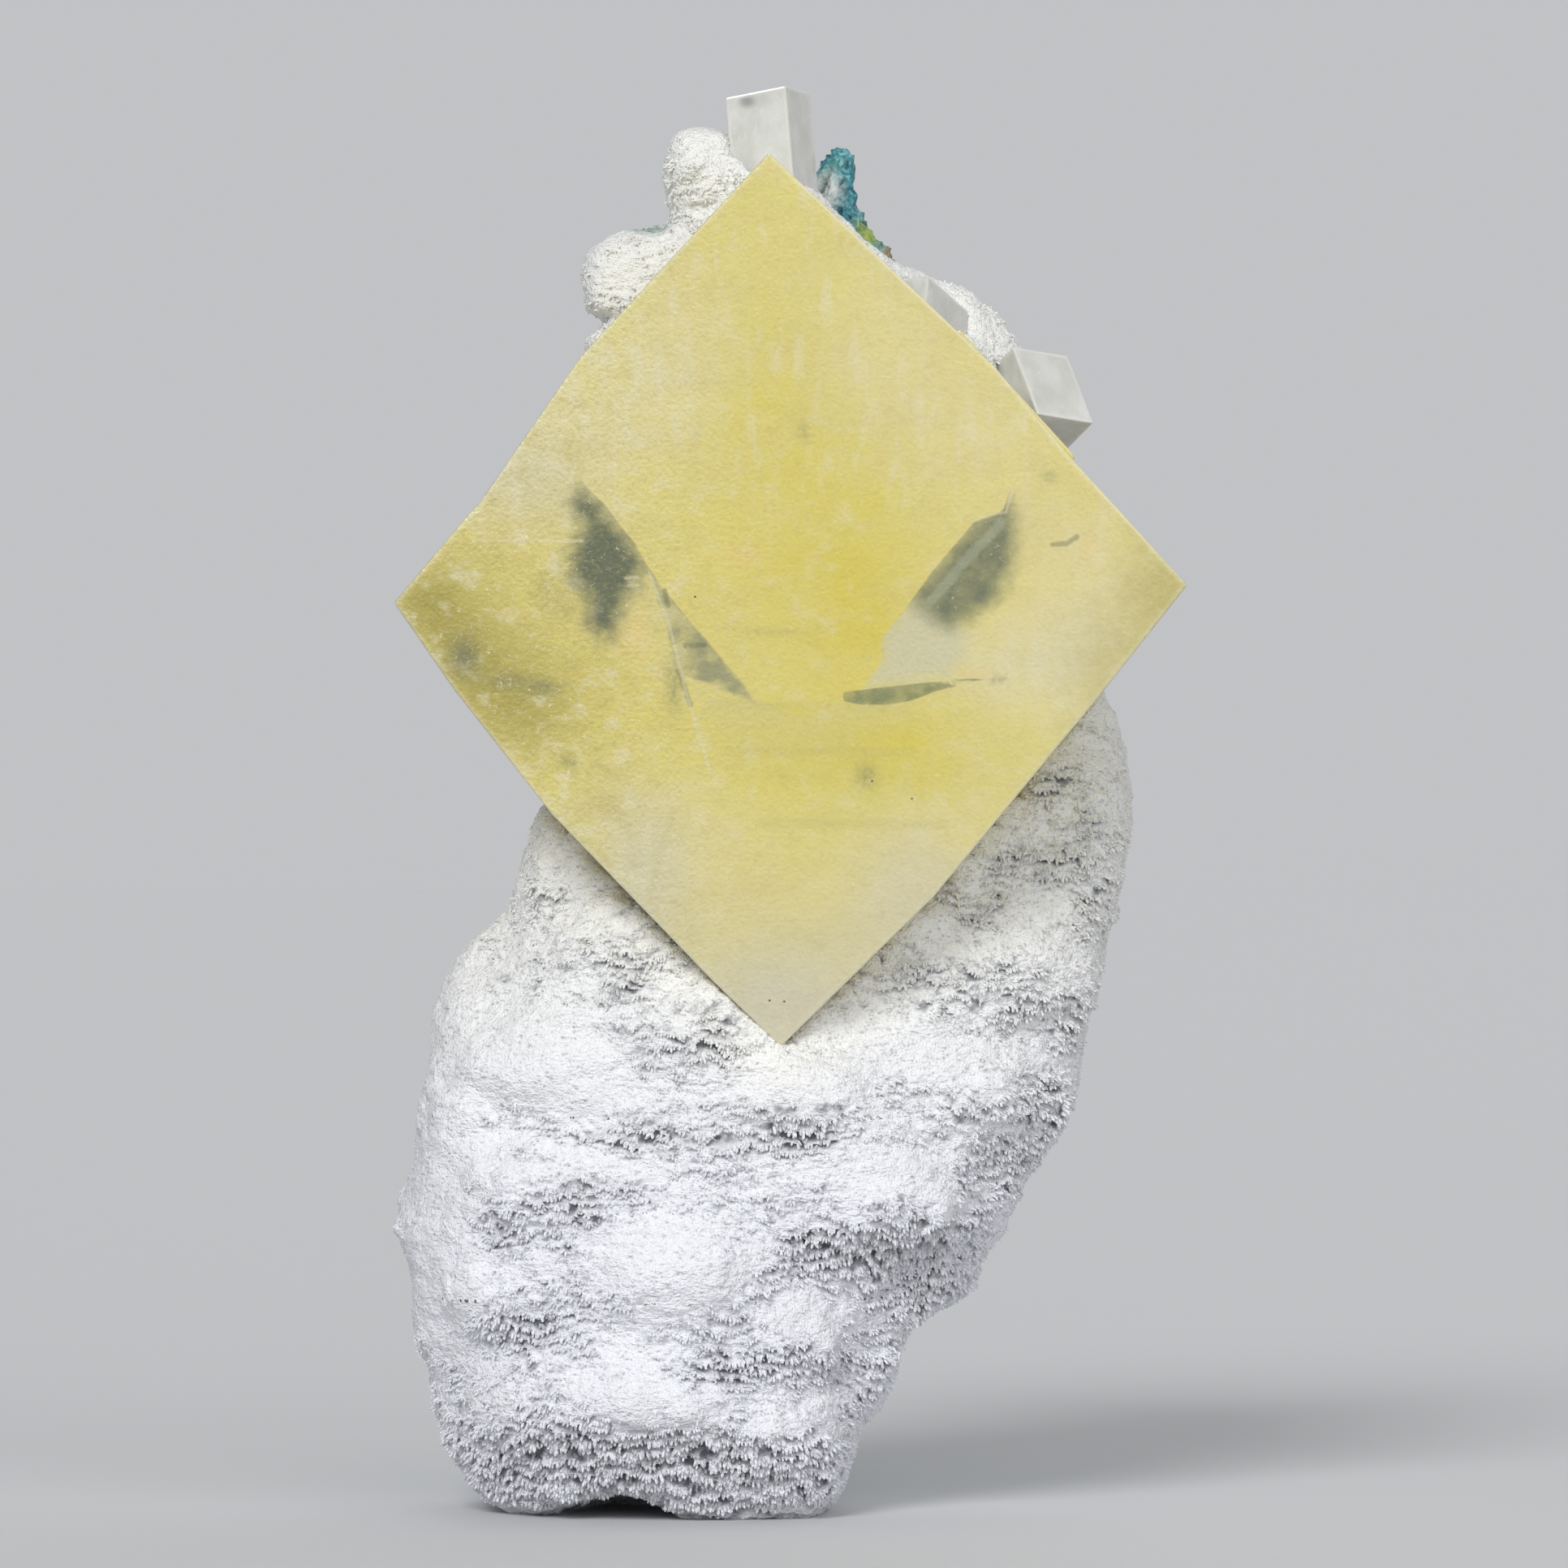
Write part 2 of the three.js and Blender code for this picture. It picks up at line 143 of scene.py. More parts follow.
def newMaterial(name):
    material = bpy.data.materials.new(name)
    material.use_nodes = True
    tree = material.node_tree
    tree.nodes.clear()
    output = addNode(tree, "ShaderNodeOutputMaterial")
    coords = addNode(tree, "ShaderNodeTexCoord").outputs["Object"]
    return material, tree, output, coords


def stored(tree, name):
    # a number that the mesh carries at its points
    return addNode(tree, "ShaderNodeAttribute", {"attribute_name": name}).outputs["Fac"]


def finishMaterial(tree, output, finish, color, height):
    # the surface, its small relief from a height and, in a clear stone, what the body takes from the light
    bump = addNode(tree, "ShaderNodeBump", {
        "Strength": finish["bump"], "Distance": finish["bumpDeep"] * mm}, {"Height": height})
    shader = addNode(tree, "ShaderNodeBsdfPrincipled", finish["surface"],
                     {"Base Color": color, "Normal": bump.outputs[0]})
    tree.links.new(shader.outputs[0], output.inputs["Surface"])
    if "body" in finish:
        code, density = finish["body"]
        absorb = addNode(tree, "ShaderNodeVolumeAbsorption", {"Color": linear(code), "Density": density})
        tree.links.new(absorb.outputs[0], output.inputs["Volume"])


# Camera and light

view = {
    "distance": 993.74,     # mm from the object's middle to the camera
    "left": -0.41,          # mm, where the camera stands across and upwards
    "height": 76.5,
    "field": 165.0,         # mm that the picture spans at the standoff
    "standoff": 1000.0,
    "sensor": 36.0,
}
lights = {
    "key": {"from": (-0.32, -1.0, 0.68), "spread": 22, "power": 1.8},        # small enough for crisp relief
    "fill": {"from": (0.45, -1.0, 0.1), "spread": 70, "power": 1.45},
    "back": {"from": (0.4, 1.0, 0.8), "spread": 80, "power": 0.6},
}
sky = {"color": "#e9ebee", "seen": 0.65, "cast": 0.33}       # brightness as the camera sees it and as it lights
paper = {"color": "#d4d5d7", "roughness": 0.8, "wide": 12.0}      # wide in m, so that its edge is never seen


def placeCamera():
    data = bpy.data.cameras.new("camera")
    data.sensor_width = view["sensor"]
    data.lens = view["sensor"] * view["standoff"] / view["field"]
    data.clip_end = 10.0
    camera = bpy.data.objects.new("camera", data)
    camera.location = (view["left"] * mm, -view["distance"] * mm, view["height"] * mm)
    camera.rotation_euler = (math.radians(90), 0, 0)
    bpy.context.scene.collection.objects.link(camera)
    bpy.context.scene.camera = camera


def placeLights():
    # broad far lamps, so that the floor is lit as evenly as the piece
    for name, light in lights.items():
        data = bpy.data.lights.new(name, "SUN")
        data.angle = math.radians(light["spread"])
        data.energy = light["power"]
        lamp = bpy.data.objects.new(name, data)
        lamp.rotation_euler = Vector(light["from"]).to_track_quat("Z", "Y").to_euler()
        bpy.context.scene.collection.objects.link(lamp)
    world = bpy.data.worlds.new("studio")
    world.use_nodes = True
    tree = world.node_tree
    seen = addNode(tree, "ShaderNodeLightPath").outputs["Is Camera Ray"]
    strength = addNode(tree, "ShaderNodeMapRange", {"To Min": sky["cast"], "To Max": sky["seen"]}, {"Value": seen})
    tree.nodes["Background"].inputs["Color"].default_value = linear(sky["color"])
    tree.links.new(strength.outputs[0], tree.nodes["Background"].inputs["Strength"])
    bpy.context.scene.world = world


def layFloor():
    bpy.ops.object.select_all(action="DESELECT")
    bpy.ops.mesh.primitive_plane_add(size=paper["wide"], location=(0, 0, 0))
    floor = bpy.context.object
    floor.name = "floor"
    material, tree, output = newMaterial("pale_paper")[:3]
    shader = addNode(tree, "ShaderNodeBsdfPrincipled", {
        "Base Color": linear(paper["color"]), "Roughness": paper["roughness"]})
    tree.links.new(shader.outputs[0], output.inputs["Surface"])
    floor.data.materials.append(material)


placeCamera()
placeLights()
layFloor()
bpy.context.scene.view_settings.view_transform = "Standard"
print("camera, lights and floor are in place")


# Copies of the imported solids

def only(piece):
    # the one selected and active object, so that an operator acts on nothing else
    bpy.ops.object.select_all(action="DESELECT")
    piece.select_set(True)
    bpy.context.view_layer.objects.active = piece


def copyOf(data, name):
    piece = bpy.data.objects.new(name, data.copy())
    bpy.context.scene.collection.objects.link(piece)
    only(piece)
    return piece


def copyOfNode(node, name):
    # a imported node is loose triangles, so its copy is merged first
    piece = copyOf(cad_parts[node].data, name)
    piece.data.materials.clear()
    bpy.ops.object.mode_set(mode="EDIT")
    bpy.ops.mesh.select_all(action="SELECT")
    bpy.ops.mesh.remove_doubles(threshold=0.002 * mm)
    bpy.ops.object.mode_set(mode="OBJECT")
    return piece


def applied(piece, kind, **settings):
    # adds a modifier and applies it at once
    only(piece)
    modifier = piece.modifiers.new(kind.lower(), kind)
    for key, value in settings.items():
        setattr(modifier, key, value)
    bpy.ops.object.modifier_apply(modifier=modifier.name)


def remeshed(piece, voxel, rounds):
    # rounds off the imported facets, then gives the piece a fine even mesh
    applied(piece, "SUBSURF", levels=1, render_levels=1)
    applied(piece, "REMESH", mode="VOXEL", voxel_size=voxel * mm)
    applied(piece, "SMOOTH", iterations=rounds, factor=0.5)


def geometryTree(name):
    tree = bpy.data.node_groups.new(name, "GeometryNodeTree")
    tree.interface.new_socket("Geometry", in_out="INPUT", socket_type="NodeSocketGeometry")
    tree.interface.new_socket("Geometry", in_out="OUTPUT", socket_type="NodeSocketGeometry")
    source = addNode(tree, "NodeGroupInput").outputs["Geometry"]
    output = addNode(tree, "NodeGroupOutput")
    place = addNode(tree, "GeometryNodeInputPosition").outputs[0]
    normal = addNode(tree, "GeometryNodeInputNormal").outputs[0]
    return tree, source, output, place, normal


def kept(tree, geometry, numbers):
    # stores numbers at the mesh's points, for the materials
    for name, value in numbers.items():
        geometry = addNode(tree, "GeometryNodeStoreNamedAttribute", {"Name": name},
                           {"Geometry": geometry, "Value": value}).outputs[0]
    return geometry


def painted(piece, material):
    piece.data.materials.clear()
    piece.data.materials.append(material)
    print(piece.name, sum(len(face.vertices) - 2 for face in piece.data.polygons), "triangles")


# Mordenite wool

wool = {
    "voxel": 0.3,           # mm between the points of the fine mesh
    "softening": 6,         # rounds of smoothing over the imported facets
    "proud": 0.35,          # mm that makes up for what the smoothing takes off
    "swell": 0.5,           # mm, low swellings over the lobes
    "row": 1.25,            # mm from one ragged shelf to the next
    "rowRise": 0.55,        # mm that a shelf stands out where it is most ragged
    "rowFaint": 0.1,        # and on the smooth slopes
    "rowWander": 2.4,       # rows that a shelf strays by over a lobe
    "rowStray": 1.6,        # and from one spot to the next
    "rowBreak": 0.35,       # rows that neighbouring tufts are out of step
    "rowCell": 0.6,         # mm, how wide such a tuft is
    "droop": 0.6,           # how far a ragged shelf sinks for each mm that it stands out
    "crumb": 0.2,           # mm, rounded tips of the fibre bundles
    "crumbWide": 0.65,
    "lump": 1.9,            # mm, coarse lumps
    "lumpTurn": 35,         # degrees that the lumps slant
    "groove": 0.9,          # mm, grooves that fan out from the large crystal
    "dent": 0.9,            # mm that the most ragged hollows lie back
    "hug": 0.9,             # mm that it rises around the lower half of the large crystal
    "hugReach": 4.5,        # mm from the crystal where that begins
    "clear": 1.2,           # mm from the large crystal over which the relief dies away
    "underRagged": 0.5,     # how much an overhang adds to the raggedness
    "spotRagged": 0.75,     # and how much the spots below do
    "bands": (-1, 23, 42, 62, 85, 118, 160),        # mm of height, one piece between each two
}
woolNoise = {               # mm wide, mm high, seed and detail
    "swell": (5.0, 2.8, 3, 2.0),
    "wander": (8, 6, 5, 1.0),
    "stray": (1.9, 1.9, 9, 1.0),
    "patch": (4.6, 2.0, 13, 2.0),
    "smallPatch": (1.5, 0.8, 15, 2.0),
    "lump": (1.9, 1.1, 17, 2.0),
    "groove": (2.1, 9.0, 19, 1.0),
    "fibre": (0.95, 0.4, 21, 3.0),
    "grain": (0.28, 0.28, 27, 2.0),
}
woolFinish = {
    "surface": {"Roughness": 0.95, "IOR": 1.47, "Specular IOR Level": 0.2},
    "bump": 1.0,
    "bumpDeep": 0.4,        # mm
    "high": "#f2f2ee",      # its white in the upper half, and the cooler one below
    "low": "#f0f1f6",
    "cream": "#f7f6f1",     # lighter beside the large crystal: painted light against the crystal's shade and yellow bounce
    "gapShade": "#9c9ea5",     # painted shade in the gaps between the fibre bundles
    "hollow": "#66676e",    # painted shade under the shelves
    "paintedShade": (0.6, 0.2),     # how much of both painted shades, below and on the whiter upper lobes
    "stain": "#4f8577",
}
tufts = {
    "apart": 0.25,          # mm, least distance between two tufts
    "radius": 0.165,        # mm, of a bundle of fibres
    "long": 0.4,            # mm, half its length on the ragged shelves
    "grown": (0.45, 1.1),   # its size where the wool is smooth and where it is ragged
    "chance": (0.65, 1.35),     # least and most that chance makes of that
    "hang": 1.1,            # how far a tuft turns down
    "stray": 0.45,          # how far tufts turn by chance
    "ground": 1.2,          # mm of height below which none grows, so that none passes through the cut
    "seed": 40,
    "bands": (-1, 15, 26, 36, 46, 60, 160),
}
# Where the woolly front is ragged, or smooth where the last value is below nought:
# middle as x and z, half width and half height in mm, and how much.
woolSpots = [
    (-14.3, 58.5, 9.5, 5.4, 0.45), (-15.2, 40.1, 8.5, 2.6, 0.75), (-20.6, 33.8, 7.0, 2.8, 0.8),
    (0.0, 40.1, 8.0, 2.2, 0.75), (8.3, 28.4, 10.0, 3.0, 1.1), (-26.9, 20.2, 5.2, 2.6, 0.7),
    (-4.7, 16.0, 8.0, 2.4, 0.85), (-12.0, 5.6, 24.0, 4.6, 1.05), (19.2, 64.2, 4.6, 3.2, 0.5),
    (12.9, 57.0, 3.2, 3.6, 0.5), (26.8, 44.6, 5.0, 3.0, 0.35), (22.4, 37.0, 5.5, 3.2, 0.5),
    (15.2, 23.6, 5.0, 3.0, 0.75), (-7.4, 51.0, 3.6, 2.8, 0.5), (28.5, 74.0, 5.0, 6.0, 0.2),
    (-24.4, 47.6, 8.0, 6.5, -0.9), (-12.2, 25.8, 7.6, 6.0, -0.9), (0.4, 46.0, 7.5, 2.8, -0.7),
    (-14.3, 12.6, 9.0, 2.8, -0.7), (6.6, 36.6, 8.5, 3.2, -0.6), (13.3, 49.6, 8.0, 4.0, -0.5),
    (3.0, 21.5, 6.0, 3.0, -0.5), (-35.0, 44.0, 5.0, 12.0, -1.6), (-36.0, 26.0, 5.0, 10.0, -1.4),
]
# Coarse lumps: middle as x, y and z, and how far they reach
lumpSpots = [(-22.5, -8, 67, 11), (28, -6, 73, 12), (-18, 5, 122, 8), (-8, 8, 135, 7)]
# Grooves that fan out from the large crystal: middle as x, y and z, reach, and their turn in degrees
fanSpots = [(17, -14, 64, 14, 42), (-13, -15, 58, 10, -48)]
# Notches in the outline: middle as x, y and z, reach along each, and mm of depth
notches = [((-21.8, 6, 125.2), (4.0, 16, 1.5), 2.2), ((-20.5, 6, 118.4), (3.0, 16, 1.2), 0.8)]
# Where the blue-green rind shows through: middle and reach
stainSpots = [((-14.8, 8, 135.4), (2.6, 30, 1.1)), ((16.6, 14, 21.4), (1.5, 9, 0.8))]


def shapeWool(piece):
    tree, source, output, place, normal = geometryTree("wool relief")

    def woolWaves(name, where=place):
        return waves(tree, where, *woolNoise[name])

    height = along(tree, place, "Z")
    crystal = addNode(tree, "GeometryNodeObjectInfo", {"Object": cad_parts["calcite_main"]})
    near = addNode(tree, "GeometryNodeProximity", links={0: crystal.outputs["Geometry"]}).outputs["Distance"]
    clear = mapRange(tree, near, 0.1 * mm, wool["clear"] * mm)

    # how ragged the wool is: under an overhang, in the spots and by chance, and less towards the back
    low = mapRange(tree, height, 86 * mm, 76 * mm, 0.25, 1.0)
    under = product(tree, mapRange(tree, along(tree, normal, "Z"), 0.5, -0.5), low)
    front = mapRange(tree, along(tree, normal, "Y"), 0.15, -0.65, 0.25, 1.0)
    spots = addedUp(tree, *(
        product(tree, nearness(tree, place, (x, 0, z), (wide, 1, high), (1, 0, 1)), amount)
        for x, z, wide, high, amount in woolSpots))
    patch = addedUp(tree, product(tree, woolWaves("patch"), 1.8), product(tree, woolWaves("smallPatch"), 1.6))
    ragged = addedUp(
        tree, product(tree, under, wool["underRagged"]), product(tree, spots, wool["spotRagged"]), patch)
    ragged = product(tree, mapRange(tree, ragged, -0.15, 1.0, smooth=False), front)

    # shelves: each rises as it comes down and ends in a ragged lip
    cells = addNode(tree, "ShaderNodeTexVoronoi", {"Scale": 1 / (wool["rowCell"] * mm)}, {"Vector": place})
    jag = math2(tree, "SUBTRACT", along(tree, cells.outputs["Color"], 0), 0.5)
    phase = addedUp(
        tree, math2(tree, "DIVIDE", height, wool["row"] * mm),
        product(tree, woolWaves("wander"), wool["rowWander"] * 2),
        product(tree, woolWaves("stray"), wool["rowStray"]), product(tree, jag, wool["rowBreak"]))
    lip = math2(tree, "SUBTRACT", 1.0, math2(tree, "FRACT", phase))
    shelf = mapRange(tree, ragged, 0.0, 1.0, wool["rowFaint"] * mm, wool["rowRise"] * mm, smooth=False)
    shelf = product(tree, shelf, lip)

    swell = product(tree, woolWaves("swell"), wool["swell"] * 3 * mm)
    bundle = addNode(tree, "ShaderNodeTexVoronoi", {
        "Scale": 1 / (wool["crumbWide"] * mm), "feature": "SMOOTH_F1", "Smoothness": 0.3}, {"Vector": place})
    crumbRise = mapRange(tree, ragged, 0.0, 1.0, 0.9 * wool["crumb"] * mm, wool["crumb"] * 2 * mm, smooth=False)
    crumb = product(tree, math2(tree, "SUBTRACT", 0.5, bundle.outputs["Distance"]), crumbRise)
    lumps = addedUp(tree, *(nearness(tree, place, spot[:3], (spot[3],) * 3) for spot in lumpSpots))
    lump = product(tree, woolWaves("lump", turned(tree, place, wool["lumpTurn"])), lumps, wool["lump"] * mm)
    dent = product(tree, spots, front, -wool["dent"] * mm)
    fans = addedUp(tree, *(
        product(tree, woolWaves("groove", turned(tree, place, turn)),
                nearness(tree, place, (x, y, z), (reach,) * 3))
        for x, y, z, reach, turn in fanSpots))
    fans = product(tree, fans, wool["groove"] * 4 * mm)
    notched = addedUp(tree, *(product(tree, nearness(tree, place, middle, reach), -deep * mm)
                              for middle, reach, deep in notches))
    rise = addedUp(tree, swell, crumb, shelf, lump, fans, dent, notched)
    rise = math2(tree, "ADD", product(tree, rise, clear), wool["proud"] * mm)
    hug = mapRange(tree, near, wool["hugReach"] * mm, 0.5 * mm, 0.0, wool["hug"] * mm)
    hug = product(tree, hug, mapRange(tree, height, 80 * mm, 72 * mm))
    rise = math2(tree, "ADD", rise, hug)
    sunk = product(tree, shelf, ragged, -wool["droop"])
    offset = vectorMath(tree, "ADD", vectorMath(tree, "SCALE", normal, rise), vectorOf(tree, Z=sunk))
    # where the shelves overhang; the wool material paints its shade here
    hollow = product(tree, ragged, math2(tree, "SUBTRACT", 1.0, lip))
    geometry = kept(tree, source, {"hollow": hollow, "ragged": ragged, "lip": lip, "near": near})

    # nothing sinks below the flat cut that it stands on
    raised = vectorMath(tree, "ADD", place, offset)
    floored = vectorOf(tree, X=along(tree, raised, "X"), Y=along(tree, raised, "Y"),
                       Z=math2(tree, "MAXIMUM", along(tree, raised, "Z"), 0.0))
    moved = addNode(tree, "GeometryNodeSetPosition", links={"Geometry": geometry, "Position": floored})
    tree.links.new(moved.outputs[0], output.inputs[0])
    applied(piece, "NODES", node_group=tree)


def woolMaterial(name, shade):
    # mordenite: felted silky fibres a few microns thick, which scatter light as chalk does, with no gloss
    material, tree, output, coords = newMaterial(name)
    height = along(tree, coords, "Z")
    fibre = waves(tree, coords, *woolNoise["fibre"])
    grain = waves(tree, coords, *woolNoise["grain"])
    color = mixColor(tree, mapRange(tree, height, 75 * mm, 30 * mm), woolFinish["high"], woolFinish["low"])
    # painted light: the wool beside the large crystal is made lighter, against the crystal's shade and yellow
    # bounce
    beside = mapRange(tree, stored(tree, "near"), 9 * mm, 1 * mm, 0.0, 0.8)
    color = mixColor(tree, beside, color, woolFinish["cream"])
    below, above = woolFinish["paintedShade"]
    paintedShade = mapRange(tree, height, 98 * mm, 114 * mm, below, above)
    # painted shade in the gaps between the fibre bundles
    gapShadeMask = mapRange(tree, math2(tree, "ADD", fibre, product(tree, grain, 0.5)), -0.05, -0.3)
    color = mixColor(tree, product(tree, gapShadeMask, paintedShade), color, woolFinish["gapShade"])
    # painted shade in the hollows under the shelves, less on the whiter upper lobes
    hollow = mapRange(tree, stored(tree, "hollow"), 0.12, 0.75, 0.0, shade / below)
    color = mixColor(tree, product(tree, hollow, paintedShade), color, woolFinish["hollow"])
    for middle, reach in stainSpots:
        patchy = mapRange(tree, fibre, 0.15, -0.1, 0.3, 1.0)
        stain = product(tree, nearness(tree, coords, middle, reach), patchy, 0.85)
        color = mixColor(tree, stain, color, woolFinish["stain"])
    finishMaterial(tree, output, woolFinish, color, math2(tree, "ADD", fibre, product(tree, grain, 0.7)))
    return material


def splitCorners(piece):
    # a face with three points on the open rim is parted from its middle, so that no corner of the lid lies on it
    mesh = bmesh.from_edit_mesh(piece.data)
    corners = [face for face in mesh.faces if sum(vertex.is_boundary for vertex in face.verts) > 2]
    bmesh.ops.poke(mesh, faces=corners)
    bmesh.update_edit_mesh(piece.data)


def bandOf(whole, name, low, high):
    # the part of the fleece between two heights, closed where it was parted
    piece = copyOf(whole.data, name)
    for face in piece.data.polygons:
        face.select = not low * mm <= face.center.z < high * mm
    bpy.ops.object.mode_set(mode="EDIT")
    bpy.ops.mesh.select_mode(type="FACE")
    bpy.ops.mesh.delete(type="FACE")
    splitCorners(piece)
    bpy.ops.mesh.select_mode(type="EDGE")
    bpy.ops.mesh.select_all(action="DESELECT")
    bpy.ops.mesh.select_non_manifold()
    bpy.ops.mesh.edge_face_add()
    bpy.ops.mesh.mark_sharp()       # so that the lid doesn't darken the skin beside it
    bpy.ops.object.mode_set(mode="OBJECT")
    return piece


def tuftModel():
    # a bundle of fibres: a blunt pebble of ten faces, its root sunk below the skin
    bpy.ops.object.select_all(action="DESELECT")
    bpy.ops.mesh.primitive_uv_sphere_add(segments=5, ring_count=2, radius=1.0, location=(0, 0, 0.25))
    model = bpy.context.object
    bpy.ops.object.transform_apply(location=True)
    return model


def scatterTufts(base, model, name, low, high, seed):
    piece = copyOf(base.data, name)
    tree, source, output, place, normal = geometryTree(name)
    height = along(tree, place, "Z")
    ragged, lip, near = (addNode(tree, "GeometryNodeInputNamedAttribute", {"Name": number}).outputs[0]
                         for number in ("ragged", "lip", "near"))
    wanted = product(
        tree, mapRange(tree, ragged, 0.03, 0.5), mapRange(tree, lip, 0.5, 0.72, 0.06, 1.0),
        math2(tree, "GREATER_THAN", height, max(low, tufts["ground"]) * mm),
        math2(tree, "LESS_THAN", height, high * mm), mapRange(tree, near, 0.4 * mm, 0.9 * mm))
    keep = addNode(tree, "GeometryNodeCaptureAttribute")
    keep.capture_items.new("FLOAT", "ragged")
    keep.capture_items.new("VECTOR", "normal")
    tree.links.new(source, keep.inputs["Geometry"])
    tree.links.new(ragged, keep.inputs["ragged"])
    tree.links.new(normal, keep.inputs["normal"])
    apart = tufts["apart"] * mm
    points = addNode(tree, "GeometryNodeDistributePointsOnFaces", {
        "distribute_method": "POISSON", "Distance Min": apart, "Density Max": 1.5 / apart ** 2, "Seed": seed},
        {"Mesh": keep.outputs["Geometry"], "Density Factor": wanted})
    stray = addNode(tree, "FunctionNodeRandomValue", {
        "data_type": "FLOAT_VECTOR", 0: (-1.0, -1.0, -1.0), 1: (1.0, 1.0, 1.0), "Seed": seed + 1}).outputs[0]
    hang = product(tree, keep.outputs["ragged"], -tufts["hang"])
    downwards = vectorMath(tree, "ADD", keep.outputs["normal"], vectorOf(tree, Z=hang))
    downwards = vectorMath(tree, "ADD", downwards, vectorMath(tree, "SCALE", stray, tufts["stray"]))
    upright = addNode(tree, "FunctionNodeAlignRotationToVector", {"axis": "Z"}, {"Vector": downwards})
    least, most = tufts["chance"]
    chance = addNode(tree, "FunctionNodeRandomValue", {
        "data_type": "FLOAT", 2: least, 3: most, "Seed": seed + 2}).outputs[1]
    grown = product(tree, mapRange(tree, keep.outputs["ragged"], 0.0, 0.85, *tufts["grown"]), chance)
    radius = product(tree, grown, tufts["radius"] * mm)
    size = vectorOf(tree, X=radius, Y=radius, Z=product(tree, grown, tufts["long"] * mm))
    shape = addNode(tree, "GeometryNodeObjectInfo", {"Object": model})
    placed = addNode(tree, "GeometryNodeInstanceOnPoints", links={
        "Points": points.outputs["Points"], "Instance": shape.outputs["Geometry"],
        "Rotation": upright.outputs[0], "Scale": size})
    real = addNode(tree, "GeometryNodeRealizeInstances", links={"Geometry": placed.outputs[0]})
    tree.links.new(real.outputs[0], output.inputs[0])
    applied(piece, "NODES", node_group=tree)
    return piece


def finishWool(piece, material):
    painted(piece, material)
    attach(piece, "root")


def makeWool():
    # the tufts take half the painted shade of the skin, so that their tips stand out lighter
    skin = woolMaterial("mordenite_wool", 1.0)
    fluff = woolMaterial("mordenite_tuft", 0.5)
    whole = copyOfNode("mordenite_matrix", "fleece")
    remeshed(whole, wool["voxel"], wool["softening"])
    shapeWool(whole)
    bpy.ops.object.shade_smooth()
    model = tuftModel()
    for number, (low, high) in enumerate(zip(tufts["bands"], tufts["bands"][1:])):
        piece = scatterTufts(whole, model, "mordenite_tufts_" + str(number + 1), low, high, tufts["seed"] + number)
        finishWool(piece, fluff)
    for number, (low, high) in enumerate(zip(wool["bands"], wool["bands"][1:])):
        piece = bandOf(whole, "mordenite_wool_" + str(number + 1), low, high)
        finishWool(piece, skin)
        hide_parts("mordenite_matrix")
    bpy.data.objects.remove(model)
    bpy.data.objects.remove(whole)


makeWool()


# Calcite

rhomb = {
    "bevel": 0.25,          # mm, worn edges
    "cell": 0.7,            # mm between the cuts across a face
    "deepCell": 1.5,        # and from front to back
    "rise": 0.16,           # mm, slow waves of a grown face
    "frost": 0.05,          # mm, small bumps of its sugary skin
    "keepEdge": 1.4,        # mm from an edge over which the relief dies away
    "deep": 12.0,           # mm behind the front face where the last of its marks ends
}
smallRhombs = {"bevel": 0.2, "cell": 0.6, "deepCell": 0.6, "rise": 0.25, "frost": 0.04, "keepEdge": 0.9}
calciteNoise = {            # mm wide, mm high, seed and detail
    "cloud": (7, 5, 31, 3.0),
    "wobble": (1.3, 1.3, 33, 3.0),
    "speckle": (0.45, 0.45, 35, 2.0),
    "comb": (1.3, 11.0, 37, 3.0),
    "mottle": (2.6, 2.2, 41, 4.0),
    "glint": (0.8, 0.6, 43, 1.0),
    "glintPatch": (0.7, 0.7, 45, 1.0),
    "slowWave": (9, 7, 51, 2.0),
    "frost": (1.3, 1.3, 53, 3.0),
    "mist": (2.4, 3.6, 61, 3.0),
    "haze": (0.35, 0.35, 63, 3.0),
    "scratch": (0.7, 2.2, 65, 1.0),
    "scratchPatch": (1.2, 1.2, 67, 1.0),
}
honeyFinish = {
    "surface": {"Roughness": 0.32, "IOR": 1.6, "Transmission Weight": 0.22,
                "Coat Weight": 0.5, "Coat Roughness": 0.12},
    "body": ("#f0dc78", 40.0),
    "bump": 0.45,
    "bumpDeep": 0.22,       # mm
    "base": ("#ebdb80", "#f2e693"),
}
honeyPaints = {             # colour, and how much of it at most
    "honey": ("#e9d855", 0.9),
    "cream": ("#f1e9b8", 1.0),
    "pale": ("#dfd9bb", 0.95),
    "olive": ("#b5a950", 0.8),
    "light": ("#f3ecc4", 0.6),
    "dull": ("#cbba5c", 0.45),
    "comb": ("#f7f0cf", 0.45),
    "veil": ("#d8d09a", 0.3),
    "band": ("#dedab5", 0.85),
    "wedge": ("#9c9d78", 0.75),
    "leftWindow": ("#5c6852", 0.95),
    "rightWindow": ("#68745f", 0.9),
    "paleStreak": ("#b0b695", 0.6),
    "lens": ("#878e60", 0.95),
    "smoke": ("#6f7660", 0.95),
    "glow": ("#f7d98e", 0.6),
    "faintLine": ("#cfc479", 0.2),
    "darkLine": ("#6d6f52", 0.5),
    "brightLine": ("#efe8c2", 0.42),
    "speck": ("#2c2a20", 0.95),
    "rim": ("#f4efcf", 0.35),
    "glint": ("#fffbe0", 0.85),
    "grain": ("#c0b055", 0.3),
}
clearFinish = {
    "surface": {"Roughness": 0.25, "IOR": 1.6, "Transmission Weight": 0.33,
                "Coat Weight": 0.5, "Coat Roughness": 0.12},
    "body": ("#e9e9e2", 14.0),
    "bump": 0.4,
    "bumpDeep": 0.1,        # mm
    "base": ("#e6e7e0", "#f7f8f4"),
    "scratch": "#ffffff",
    "scratchTurn": -30,     # degrees
    "smudge": "#8f9698",
    "smudgeSpot": ((-4.3, 8, 148.4), (1.0, 6.0, 0.8)),      # on the top rhomb: middle and reach
    "rim": "#fbfaf5",
}

